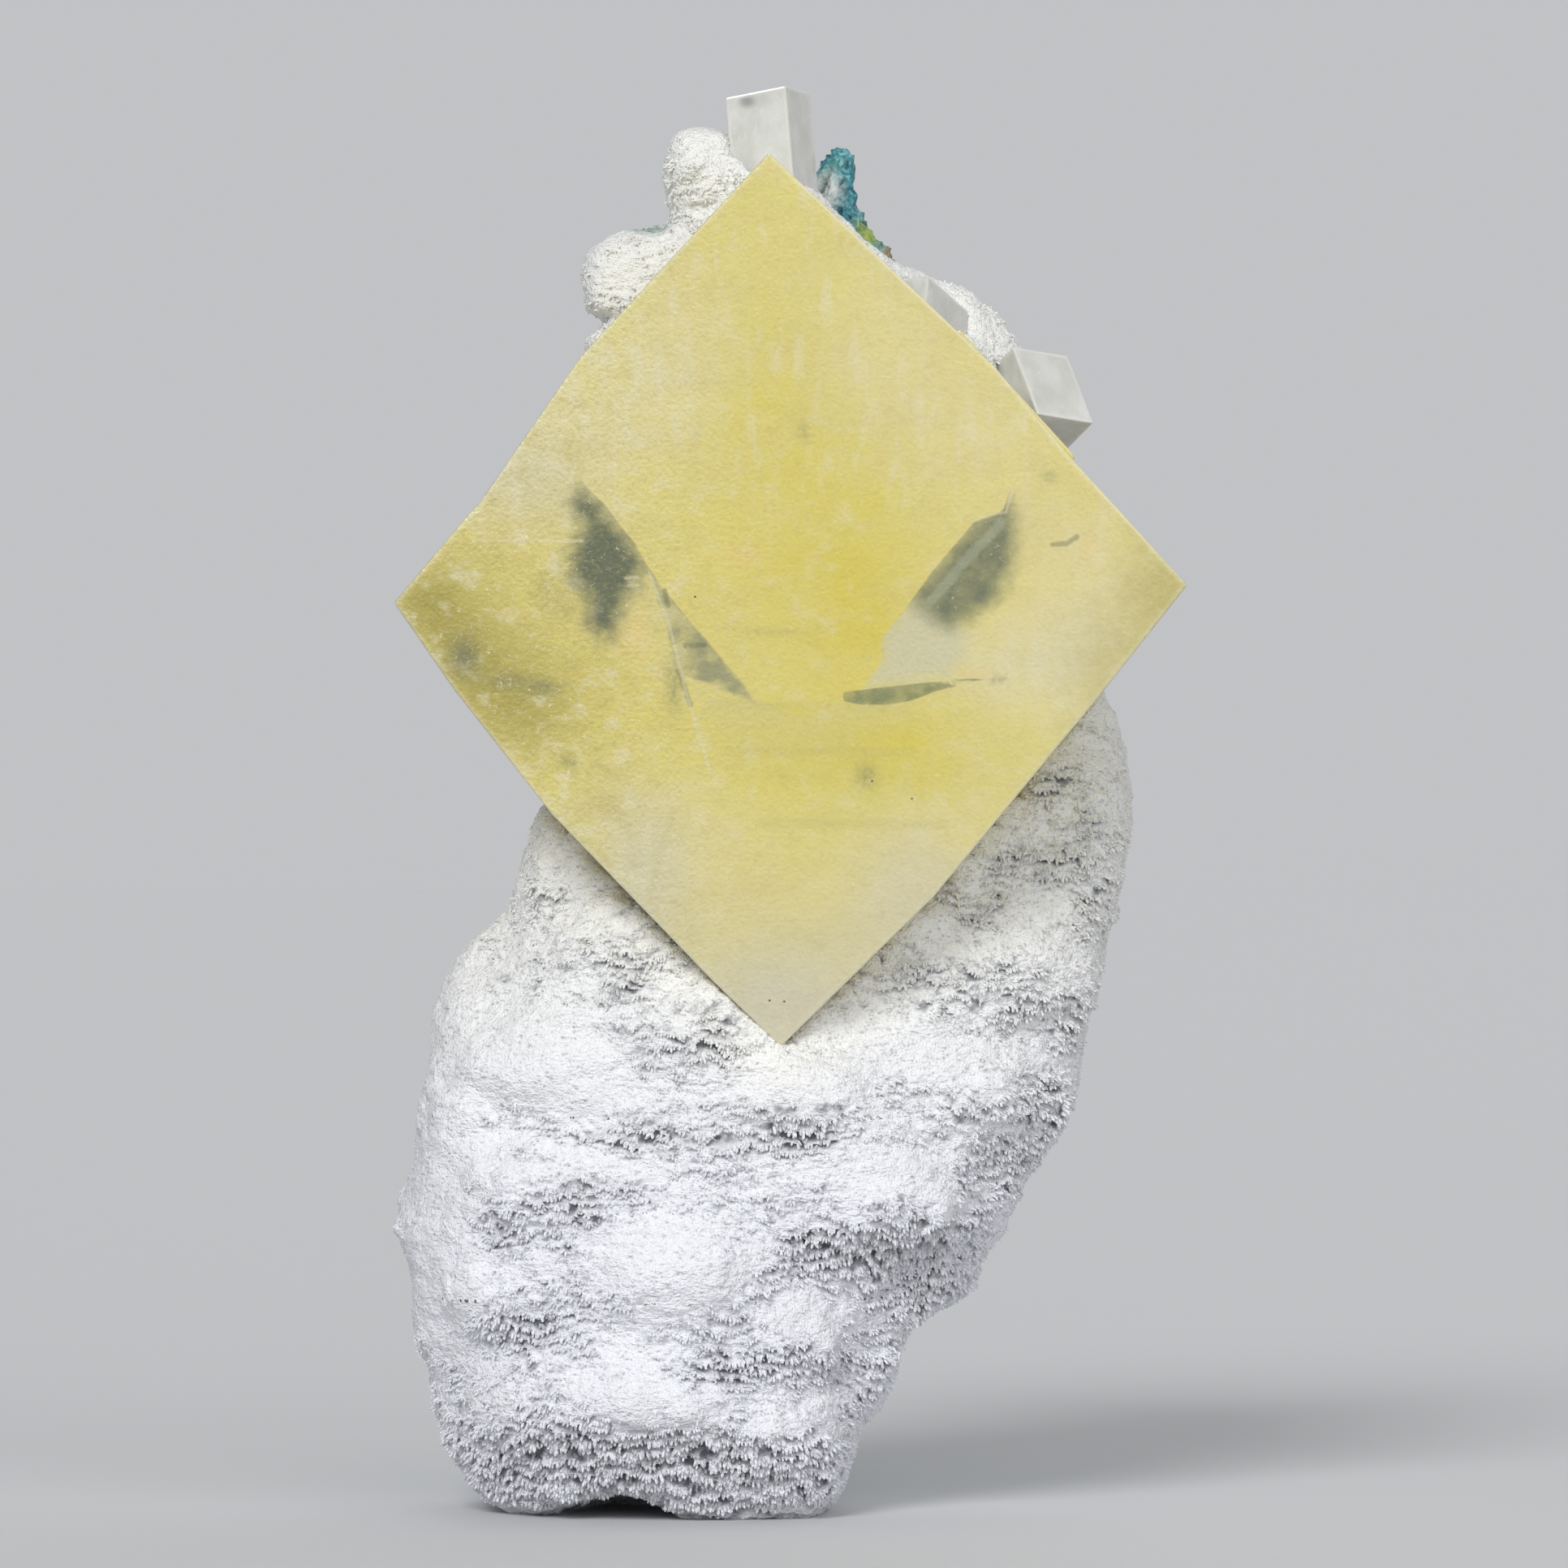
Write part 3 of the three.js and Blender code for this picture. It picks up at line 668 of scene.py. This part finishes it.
# Marks seen through the front face, as x and z in mm. The veil is the edge of the clear yellow heart.
veeLeft = [(-22.4, 110.0), (-20.5, 106.7), (-18.5, 104.8), (-17.0, 102.7), (-15.7, 101.2),
           (-14.6, 99.2), (-12.9, 96.7), (-10.0, 93.2), (-6.7, 89.3), (-3.0, 85.1)]
veeRight = [(7.9, 86.5), (9.8, 89.5), (9.4, 90.5), (9.8, 91.8), (11.6, 93.9),
            (14.8, 98.3), (18.2, 102.3), (19.0, 103.3), (21.9, 104.2), (22.4, 106.0)]
outlines = {
    "heart": veeLeft + [(1.0, 83.5), (5.0, 84.0)] + veeRight
    + [(27.0, 112.0), (14.0, 126.0), (-2.0, 138.0), (-17.0, 124.0), (-26.0, 114.0)],
    "leftWindow": [(-22.2, 105.4), (-20.4, 106.6), (-14.6, 99.2), (-15.0, 97.9), (-16.3, 95.5), (-16.9, 93.6),
                   (-17.6, 91.6), (-19.6, 91.6), (-20.8, 93.2), (-20.2, 95.2), (-22.2, 97.8), (-22.2, 100.2),
                   (-20.9, 102.6)],
    "wedge": [(-14.7, 99.4), (-12.9, 96.7), (-10.0, 93.2), (-6.7, 89.3), (-3.2, 84.7), (-6.0, 86.0),
              (-9.0, 87.0), (-11.5, 88.0), (-12.4, 92.7), (-14.0, 97.6)],
    "band": [(13.0, 95.4), (9.8, 91.8), (9.4, 90.5), (9.8, 89.5), (7.7, 86.5), (12.5, 87.0), (16.5, 87.6),
             (18.6, 91.2), (15.4, 94.0)],
    "rightWindow": [(22.2, 105.5), (19.0, 103.3), (18.2, 102.3), (14.8, 98.3), (12.4, 95.2), (14.8, 93.0),
                    (16.8, 92.3), (18.8, 93.6), (21.0, 95.2), (22.6, 97.8), (23.2, 100.5), (23.0, 103.6)],
    "lens": [(5.6, 85.9), (12.4, 86.7), (17.6, 87.2), (21.0, 87.4), (18.6, 86.9), (15.2, 86.0), (12.6, 85.0),
             (10.0, 84.6), (7.4, 84.6), (5.6, 85.0)],
}
# How soft the edge of each is, and how far it frays, in mm
edging = {"leftWindow": (1.8, 1.1), "wedge": (0.3, 0.3), "band": (1.4, 0.3), "rightWindow": (1.5, 0.7),
          "lens": (0.1, 0.06)}
specks = [(-1.9, 54.2), (-0.4, 54.1), (8.6, 76.8), (-9.5, 95.6), (12.7, 75.0)]
# Strokes: half their width in mm, then each from point to point
lines = {
    "brightLine": (0.24, [
        [(-14.2, 98.1), (-12.1, 92.7), (-10.5, 86.1), (-8.0, 77.8)],
        [(19.0, 103.3), (21.2, 104.1), (22.2, 104.2), (22.9, 106.4)],
        [(-16.6, 97.5), (-15.3, 97.6)], [(-16.3, 96.7), (-15.3, 96.8)], [(-31.7, 101.4), (-21.0, 101.3)]]),
    "paleStreak": (0.8, [[(14.8, 95.4), (17.6, 98.7), (19.8, 101.0), (21.6, 103.0)]]),
    "faintLine": (0.7, [
        [(-8.0, 84.6), (10.0, 84.3)], [(-6.0, 79.9), (13.0, 79.8)], [(-3.0, 72.5), (16.0, 72.3)],
        [(-11.8, 73.7), (-13.3, 68.7), (-14.3, 64.5)], [(-9.0, 113.0), (-9.8, 110.6)]]),
    "darkLine": (0.4, [
        [(27.0, 100.9), (28.4, 101.0), (29.4, 101.7)], [(-12.6, 96.2), (-12.2, 94.8)],
        [(-10.4, 90.6), (-8.6, 90.7)], [(-11.2, 88.0), (-10.0, 84.6)]]),
    "speck": (0.14, [[(x, z), (x + 0.02, z)] for x, z in specks]),
}
# Clouds, each as x, z, half width, half height and strength
clouds = {
    "honey": [(6.5, 101, 7, 9, 0.65), (-3, 96, 9, 8, 0.35), (8, 92, 7, 6, 0.6), (-2, 115, 9, 13, 0.6),
              (12, 74, 9, 8, 0.4), (3, 80, 15, 6, 0.8), (12, 78, 8, 5, 0.45), (-28, 92, 8, 6, 0.3),
              (-18, 84, 8, 5, 0.3)],
    "cream": [(-12, 120, 8, 9, 0.55), (9, 122, 7, 9, 0.45), (30, 99, 7, 7, 0.35), (-14, 70, 9, 7, 0.5),
              (14, 70, 8, 8, 0.5), (27, 88, 8, 8, 0.45), (-24, 112, 9, 7, 0.5), (20, 113, 8, 8, 0.35),
              (22, 89, 7, 4, 0.5)],
    "pale": [(-1, 53, 13, 9, 1.1), (-15, 66, 5, 8, 0.75), (13, 64, 7, 7, 0.7), (38, 96, 6, 8, 0.3),
             (-27, 107.5, 8, 4.5, 0.6), (31, 90, 5, 6, 0.4)],
    "olive": [(39, 96, 5, 6, 0.65), (33, 88, 4, 5, 0.4), (-37, 95, 5, 4, 0.9), (-33, 89, 6, 6, 1.0),
              (-27, 83, 6, 5, 0.75), (-31, 99, 6, 4, 0.3), (-20, 75, 5, 5, 0.25), (-24, 88, 6, 5, 0.35)],
    "smoke": [(-33.1, 89.6, 1.5, 2.0, 1.0), (-28.6, 87.0, 2.4, 0.9, 0.6), (-25.0, 86.3, 1.7, 0.8, 0.75),
              (-22.5, 78.7, 0.8, 0.6, 0.7), (8.0, 77.4, 1.1, 1.3, 0.55), (26.6, 107.8, 0.7, 0.5, 0.6),
              (-23.5, 96.0, 2.5, 2.5, 0.35), (1.5, 112.4, 0.7, 1.0, 0.35),
              (-11.7, 86.4, 0.9, 2.6, 0.6), (-2.0, 92.0, 3.0, 0.5, 0.25), (21.5, 87.2, 0.8, 0.4, 0.5)],
    # painted highlights
    "glow": [(-4.6, 99.8, 1.8, 1.2, 0.9), (-15.6, 91.6, 1.5, 2.4, 0.9), (19.2, 87.9, 1.3, 0.4, 0.9),
             (30.6, 100.9, 0.7, 1.1, 0.9)],
}


def edgesOnly(piece):
    # a copy that keeps nothing but the sharp edges
    edges = copyOf(piece.data, piece.name + "_edges")
    bpy.ops.object.mode_set(mode="EDIT")
    bpy.ops.mesh.select_mode(type="EDGE")
    bpy.ops.mesh.select_all(action="DESELECT")
    bpy.ops.mesh.edges_select_sharp(sharpness=math.radians(25))
    bpy.ops.mesh.select_all(action="INVERT")
    bpy.ops.mesh.delete(type="EDGE")
    bpy.ops.mesh.select_all(action="SELECT")
    bpy.ops.mesh.delete(type="ONLY_FACE")
    bpy.ops.object.mode_set(mode="OBJECT")
    return edges


def cutAcross(piece, axis, step):
    # parallel cuts through the whole crystal, so that its faces can carry relief
    low = min(v.co[axis] for v in piece.data.vertices)
    high = max(v.co[axis] for v in piece.data.vertices)
    count = int((high - low) / (step * mm))
    direction = [0.0, 0.0, 0.0]
    direction[axis] = 1.0
    bpy.ops.object.mode_set(mode="EDIT")
    for n in range(1, count + 1):
        point = [0.0, 0.0, 0.0]
        point[axis] = low + (high - low) * n / (count + 1)
        bpy.ops.mesh.select_all(action="SELECT")
        bpy.ops.mesh.bisect(plane_co=point, plane_no=direction)
    bpy.ops.object.mode_set(mode="OBJECT")


def shapeRhomb(piece, edges, sizes):
    # slow waves and a sugary skin that die away at the edges, and the distance to the nearest edge for the rim
    tree, source, output, place, normal = geometryTree(piece.name + " relief")
    shape = addNode(tree, "GeometryNodeObjectInfo", {"Object": edges})
    rim = addNode(tree, "GeometryNodeProximity", {"target_element": "EDGES"}, {0: shape.outputs["Geometry"]})
    rim = rim.outputs["Distance"]
    slow = product(tree, waves(tree, place, *calciteNoise["slowWave"]), sizes["rise"] * 2 * mm)
    frost = product(tree, waves(tree, place, *calciteNoise["frost"]), sizes["frost"] * 2 * mm)
    inside = mapRange(tree, rim, sizes["bevel"] * 1.2 * mm, sizes["keepEdge"] * mm)
    lift = product(tree, math2(tree, "ADD", slow, frost), inside)
    moved = addNode(tree, "GeometryNodeSetPosition", links={
        "Geometry": kept(tree, source, {"rim": rim}), "Offset": vectorMath(tree, "SCALE", normal, lift)})
    tree.links.new(moved.outputs[0], output.inputs[0])
    applied(piece, "NODES", node_group=tree)


def makeRhomb(node, name, material, sizes):
    piece = copyOfNode(node, name)
    bpy.ops.object.mode_set(mode="EDIT")
    bpy.ops.mesh.select_all(action="SELECT")
    bpy.ops.mesh.dissolve_limited(angle_limit=math.radians(1.0))
    bpy.ops.object.mode_set(mode="OBJECT")
    edges = edgesOnly(piece)
    applied(piece, "BEVEL", width=sizes["bevel"] * mm, segments=2, limit_method="ANGLE",
            angle_limit=math.radians(25))
    for axis, step in enumerate((sizes["cell"], sizes["deepCell"], sizes["cell"])):
        cutAcross(piece, axis, step)
    shapeRhomb(piece, edges, sizes)
    bpy.data.objects.remove(edges)
    only(piece)
    bpy.ops.object.shade_smooth_by_angle(angle=math.radians(20))
    painted(piece, material)
    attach(piece, "root")
    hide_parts(node)
    return piece


def distanceToLine(x, z, points):
    best = math.inf
    for (x1, z1), (x2, z2) in zip(points, points[1:]):
        dx, dz = x2 - x1, z2 - z1
        part = ((x - x1) * dx + (z - z1) * dz) / (dx * dx + dz * dz)
        part = max(0.0, min(1.0, part))
        best = min(best, math.hypot(x - x1 - part * dx, z - z1 - part * dz))
    return best


def distanceInside(x, z, outline):
    # mm to a closed outline, above nought inside it
    closed = outline + outline[:1]
    inside = False
    for (x1, z1), (x2, z2) in zip(closed, closed[1:]):
        if (z1 > z) != (z2 > z) and x < x1 + (z - z1) / (z2 - z1) * (x2 - x1):
            inside = not inside
    away = distanceToLine(x, z, closed)
    return away if inside else -away


def strength(x, z, spots):
    return sum(amount * math.exp(-((x - cx) / wide) ** 2 - ((z - cz) / high) ** 2)
               for cx, cz, wide, high, amount in spots)


def drawMarks(piece):
    # each mark as a number at every point of the mesh, fainter with depth behind the front face
    points = [tuple(v / mm for v in vertex.co) for vertex in piece.data.vertices]
    lowest = min(points, key=lambda p: (p[2], p[1]))
    highest = max(points, key=lambda p: (p[2], -p[1]))
    lean = (highest[1] - lowest[1]) / (highest[2] - lowest[2])
    deep = [max(0.0, y - lowest[1] - lean * (z - lowest[2])) for x, y, z in points]
    values = {"deep": deep}
    for name, outline in outlines.items():
        values[name] = [distanceInside(x, z, outline) - d / 2 for (x, y, z), d in zip(points, deep)]
    for name, spots in clouds.items():
        values[name] = [strength(x, z, spots) * max(0.35, 1 - d / rhomb["deep"])
                        for (x, y, z), d in zip(points, deep)]
    for name, numbers in values.items():
        attribute = piece.data.attributes.new(name, "FLOAT", "POINT")
        attribute.data.foreach_set("value", numbers)
    print("marks drawn on", piece.name)


def honeyMaterial():
    # calcite: cloudy, honey yellow, with a satin and sugary skin; light enters it and comes back coloured
    material, tree, output, coords = newMaterial("calcite_honey")
    cloud, wobble, speckle, comb, mottle, glint, glintPatch = (
        waves(tree, coords, *calciteNoise[name])
        for name in ("cloud", "wobble", "speckle", "comb", "mottle", "glint", "glintPatch"))
    across, height = along(tree, coords, "X"), along(tree, coords, "Z")
    flat = vectorMath(tree, "MULTIPLY", coords, (1 / mm, 0.0, 1 / mm))
    onFront = mapRange(tree, stored(tree, "deep"), 2.5, 0.6)
    leftwards = mapRange(tree, across, 0.0, -28 * mm, 0.4, 1.0)
    outside = mapRange(tree, stored(tree, "heart"), 0.09, -0.09)

    def drawn(name):
        # strokes along straight pieces from point to point, on the front face
        wide, routes = lines[name]
        nearest = 100.0
        for route in routes:
            for (x1, z1), (x2, z2) in zip(route, route[1:]):
                reach = (x2 - x1, 0.0, z2 - z1)
                start = vectorMath(tree, "SUBTRACT", flat, (x1, 0.0, z1))
                dot = addNode(tree, "ShaderNodeVectorMath", {"operation": "DOT_PRODUCT", 1: reach}, {0: start})
                part = math2(tree, "DIVIDE", dot.outputs["Value"], reach[0] ** 2 + reach[2] ** 2, clamp=True)
                foot = vectorMath(tree, "SCALE", reach, part)
                away = addNode(tree, "ShaderNodeVectorMath", {"operation": "DISTANCE"}, {0: start, 1: foot})
                nearest = math2(tree, "MINIMUM", away.outputs["Value"], nearest)
        nearest = math2(tree, "ADD", nearest, product(tree, wobble, wide))
        return product(tree, mapRange(tree, nearest, wide, wide * 0.3), onFront)

    def edged(name):
        # a mark with its outline softened and frayed
        soft, fray = edging[name]
        frayed = math2(tree, "ADD", stored(tree, name), product(tree, wobble, fray * 2))
        return mapRange(tree, frayed, -soft, soft)

    def paint(color, name, *amounts):
        over, most = honeyPaints[name]
        return mixColor(tree, math2(tree, "MULTIPLY", product(tree, *amounts), most, clamp=True), color, over)

    color = mixColor(tree, mapRange(tree, cloud, -0.25, 0.25), *honeyFinish["base"])
    color = paint(color, "honey", addedUp(tree, stored(tree, "honey"), product(tree, cloud, 0.9)))
    cream = stored(tree, "cream")
    creamy = addedUp(tree, cream, product(tree, cloud, -0.5), product(tree, comb, cream, 1.1))
    color = paint(color, "cream", creamy)
    color = paint(color, "pale", stored(tree, "pale"))
    color = paint(color, "olive", addedUp(tree, stored(tree, "olive"), product(tree, wobble, 0.6)))
    color = paint(color, "light", mapRange(tree, mottle, 0.02, 0.22), leftwards)
    color = paint(color, "dull", mapRange(tree, mottle, -0.02, -0.25),
                  mapRange(tree, leftwards, 0.4, 1.0, 0.1, 1.0))
    color = paint(color, "comb", mapRange(tree, comb, 0.0, 0.3), mapRange(tree, height, 98 * mm, 112 * mm))
    color = paint(color, "veil", mapRange(tree, stored(tree, "heart"), -9.0, -0.5), outside,
                  mapRange(tree, height, 109 * mm, 104 * mm))

    # what shows through the front face, from the farthest to the nearest
    color = paint(color, "band", edged("band"), outside)
    color = paint(color, "wedge", edged("wedge"), outside, mapRange(tree, mottle, -0.15, 0.15, 1.2, 0.35))
    # painted shade: the two dark windows are the dark depth seen through the crystal
    color = paint(color, "leftWindow", edged("leftWindow"), outside)
    right = product(tree, edged("rightWindow"), outside)
    color = paint(color, "rightWindow", right, mapRange(tree, mottle, -0.2, 0.2, 1.05, 0.8))
    color = paint(color, "paleStreak", right, drawn("paleStreak"))
    color = paint(color, "lens", edged("lens"), mapRange(tree, mottle, -0.15, 0.15, 1.0, 0.55))
    color = paint(color, "smoke", stored(tree, "smoke"), mapRange(tree, speckle, -0.3, 0.15, 1.2, 0.6))
    # painted highlights: small warm bright spots
    color = paint(color, "glow", stored(tree, "glow"))
    for name in ("faintLine", "darkLine", "brightLine", "speck"):
        color = paint(color, name, drawn(name))
    # a painted highlight along the edges, strongest at the front face
    color = paint(color, "rim", mapRange(tree, stored(tree, "rim"), 0.7 * mm, 0.2 * mm),
                  mapRange(tree, stored(tree, "deep"), 6, 1))

    # painted glints: short bright strokes on the sugary skin, more on the left
    glint = mapRange(tree, math2(tree, "ABSOLUTE", glint), 0.018, 0.0)
    color = paint(color, "glint", glint, mapRange(tree, glintPatch, 0.02, 0.16), leftwards)
    # painted shade in the low spots of the sugary skin, more on the left
    color = paint(color, "grain", mapRange(tree, speckle, 0.0, -0.25), leftwards)
    sugar = math2(tree, "ADD", product(tree, speckle, 1.2), product(tree, wobble, 0.5))
    sugar = product(tree, sugar, mapRange(tree, across, 5 * mm, -28 * mm, 0.8, 1.7))
    finishMaterial(tree, output, honeyFinish, color, sugar)
    return material


def clearMaterial():
    # calcite again, nearly without colour: a frosted skin over a misty clear body, with a painted highlight along
    # its edges
    material, tree, output, coords = newMaterial("calcite_clear")
    mist, haze, scratchPatch = (
        waves(tree, coords, *calciteNoise[name]) for name in ("mist", "haze", "scratchPatch"))
    slanted = turned(tree, coords, clearFinish["scratchTurn"])
    scratch = math2(tree, "ABSOLUTE", waves(tree, slanted, *calciteNoise["scratch"]))
    scratch = product(tree, mapRange(tree, scratch, 0.022, 0.0), mapRange(tree, scratchPatch, 0.0, 0.12), 0.8)
    smudge = product(tree, nearness(tree, coords, *clearFinish["smudgeSpot"]), 0.7)
    # a painted highlight along the edges
    rim = mapRange(tree, stored(tree, "rim"), 0.6 * mm, 0.15 * mm, 0.0, 0.85)
    color = mixColor(tree, mapRange(tree, mist, -0.2, 0.2), *clearFinish["base"])
    for amount, name in ((scratch, "scratch"), (smudge, "smudge"), (rim, "rim")):
        color = mixColor(tree, amount, color, clearFinish[name])
    finishMaterial(tree, output, clearFinish, color, haze)
    return material


drawMarks(makeRhomb("calcite_main", "large_rhomb", honeyMaterial(), rhomb))
clearCalcite = clearMaterial()
for node, name in (("calcite_top", "top_rhomb"), ("calcite_right", "side_rhomb"),
                   ("calcite_right_upper", "shoulder_rhomb")):
    makeRhomb(node, name, clearCalcite, smallRhombs)


# Celadonite rind

crust = {
    "voxel": 0.42,          # mm between the points of the fine mesh
    "softening": 4,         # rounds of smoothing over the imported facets
    "lump": 1.5,            # mm, knobbly lumps
    "knob": 1.3,            # mm, smaller ones over them
    "pit": 0.9,             # mm deep, holes between the grains
    "pitWide": 1.5,
    "pitFew": 0.45,         # share of the grains without one
    "reach": 2.2,           # mm that it stands out to the right of the top crystal
    "reachSpot": ((3.4, 24, 142), (4, 12, 4)),      # middle and reach of that
    "basaltFrom": 26,       # mm of depth from which the basalt shows more and more, and where it shows most
    "basaltTo": 32,
}
crustNoise = {              # mm wide, mm high, seed and detail
    "lump": (2.8, 2.8, 71, 3.0),
    "knob": (1.0, 1.0, 73, 2.0),
    "patch": (4.5, 4.5, 81, 4.0),
    "grain": (0.5, 0.5, 83, 2.0),
    "basalt": (12, 9, 85, 4.0),
    "white": (7, 5, 87, 4.0),
    "green": (5, 5, 89, 3.0),
}
crustFinish = {
    "surface": {"Roughness": 0.85},
    "bump": 0.9,
    "bumpDeep": 0.4,        # mm
    "clay": ((0.2, "#1d4a54"), (0.5, "#468c97"), (0.8, "#97c6c8")),
    "basalt": ("#4f463c", "#84755f"),
    "white": "#dcdcd2",
    "green": "#6f9a86",
    "pit": "#12262b",
}
# Coloured spots along the rim: middle, reach and colour
crustSpots = [
    ((4.2, 22, 140.2), (2.1, 9, 2.6), "#e9ebe6"), ((8.8, 22, 135.7), (2.3, 9, 2.0), "#aebb48"),
    ((11.4, 22, 133.4), (1.6, 9, 1.5), "#cfa468"), ((12.5, 22, 132.5), (1.0, 9, 1.0), "#e4c9b6"),
    ((-16, 22, 134), (5, 9, 2.5), "#5f9078"),
]


def shapeRind(piece):
    tree, source, output, place, normal = geometryTree("rind relief")
    lumps = product(tree, waves(tree, place, *crustNoise["lump"]), crust["lump"] * 2 * mm)
    knobs = product(tree, waves(tree, place, *crustNoise["knob"]), crust["knob"] * 2 * mm)
    holes = addNode(tree, "ShaderNodeTexVoronoi", {"Scale": 1 / (crust["pitWide"] * mm)}, {"Vector": place})
    chance = along(tree, holes.outputs["Color"], 0)
    pit = product(tree, mapRange(tree, holes.outputs["Distance"], 0.35, 0.1),
                  math2(tree, "GREATER_THAN", chance, crust["pitFew"]))
    lift = math2(tree, "SUBTRACT", addedUp(tree, lumps, knobs), product(tree, pit, crust["pit"] * mm))
    reach = product(tree, nearness(tree, place, *crust["reachSpot"]), crust["reach"] * mm)
    offset = vectorMath(tree, "ADD", vectorMath(tree, "SCALE", normal, lift), vectorOf(tree, X=reach, Z=reach))
    moved = addNode(tree, "GeometryNodeSetPosition", links={
        "Geometry": kept(tree, source, {"pit": pit}), "Offset": offset})
    tree.links.new(moved.outputs[0], output.inputs[0])
    applied(piece, "NODES", node_group=tree)


def clayRamp(tree, source):
    # from the dark clay through the common one to the light one
    stops = crustFinish["clay"]
    node = addNode(tree, "ShaderNodeValToRGB", links={"Fac": source})
    while len(node.color_ramp.elements) < len(stops):
        node.color_ramp.elements.new(1.0)
    for element, (place, code) in zip(node.color_ramp.elements, stops):
        element.position = place
        element.color = linear(code)
    return node.outputs["Color"]


def rindMaterial():
    # celadonite: an earthy blue-green clay of fine grains on brown basalt, quite without gloss
    material, tree, output, coords = newMaterial("celadonite_crust")
    patch, grain, basalt, white, green = (
        waves(tree, coords, *crustNoise[name]) for name in ("patch", "grain", "basalt", "white", "green"))
    color = clayRamp(tree, addedUp(tree, patch, grain, 0.5))

    # towards the broken back the basalt under the clay shows more
    behind = mapRange(tree, along(tree, coords, "Y"), crust["basaltFrom"] * mm, crust["basaltTo"] * mm)
    bare = math2(tree, "ADD", basalt, math2(tree, "SUBTRACT", product(tree, behind, 0.3), 0.24))
    rock = mixColor(tree, mapRange(tree, grain, -0.2, 0.2), *crustFinish["basalt"])
    color = mixColor(tree, mapRange(tree, bare, 0.1, 0.19), color, rock)
    color = mixColor(tree, mapRange(tree, white, 0.16, 0.24), color, crustFinish["white"])
    color = mixColor(tree, mapRange(tree, green, 0.05, 0.25, 0.0, 0.7), color, crustFinish["green"])
    for middle, reach, code in crustSpots:
        grainy = mapRange(tree, grain, -0.3, 0.1, 0.5, 1.2)
        spot = math2(tree, "MULTIPLY", nearness(tree, coords, middle, reach), grainy, clamp=True)
        color = mixColor(tree, spot, color, code)
    # painted shade in the pits between the grains
    color = mixColor(tree, product(tree, stored(tree, "pit"), 0.85), color, crustFinish["pit"])
    finishMaterial(tree, output, crustFinish, color, grain)
    return material


def makeRind():
    piece = copyOfNode("celadonite_rind", "celadonite_crust")
    remeshed(piece, crust["voxel"], crust["softening"])
    shapeRind(piece)
    bpy.ops.object.shade_smooth()
    painted(piece, rindMaterial())
    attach(piece, "root")
    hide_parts("celadonite_rind")


makeRind()
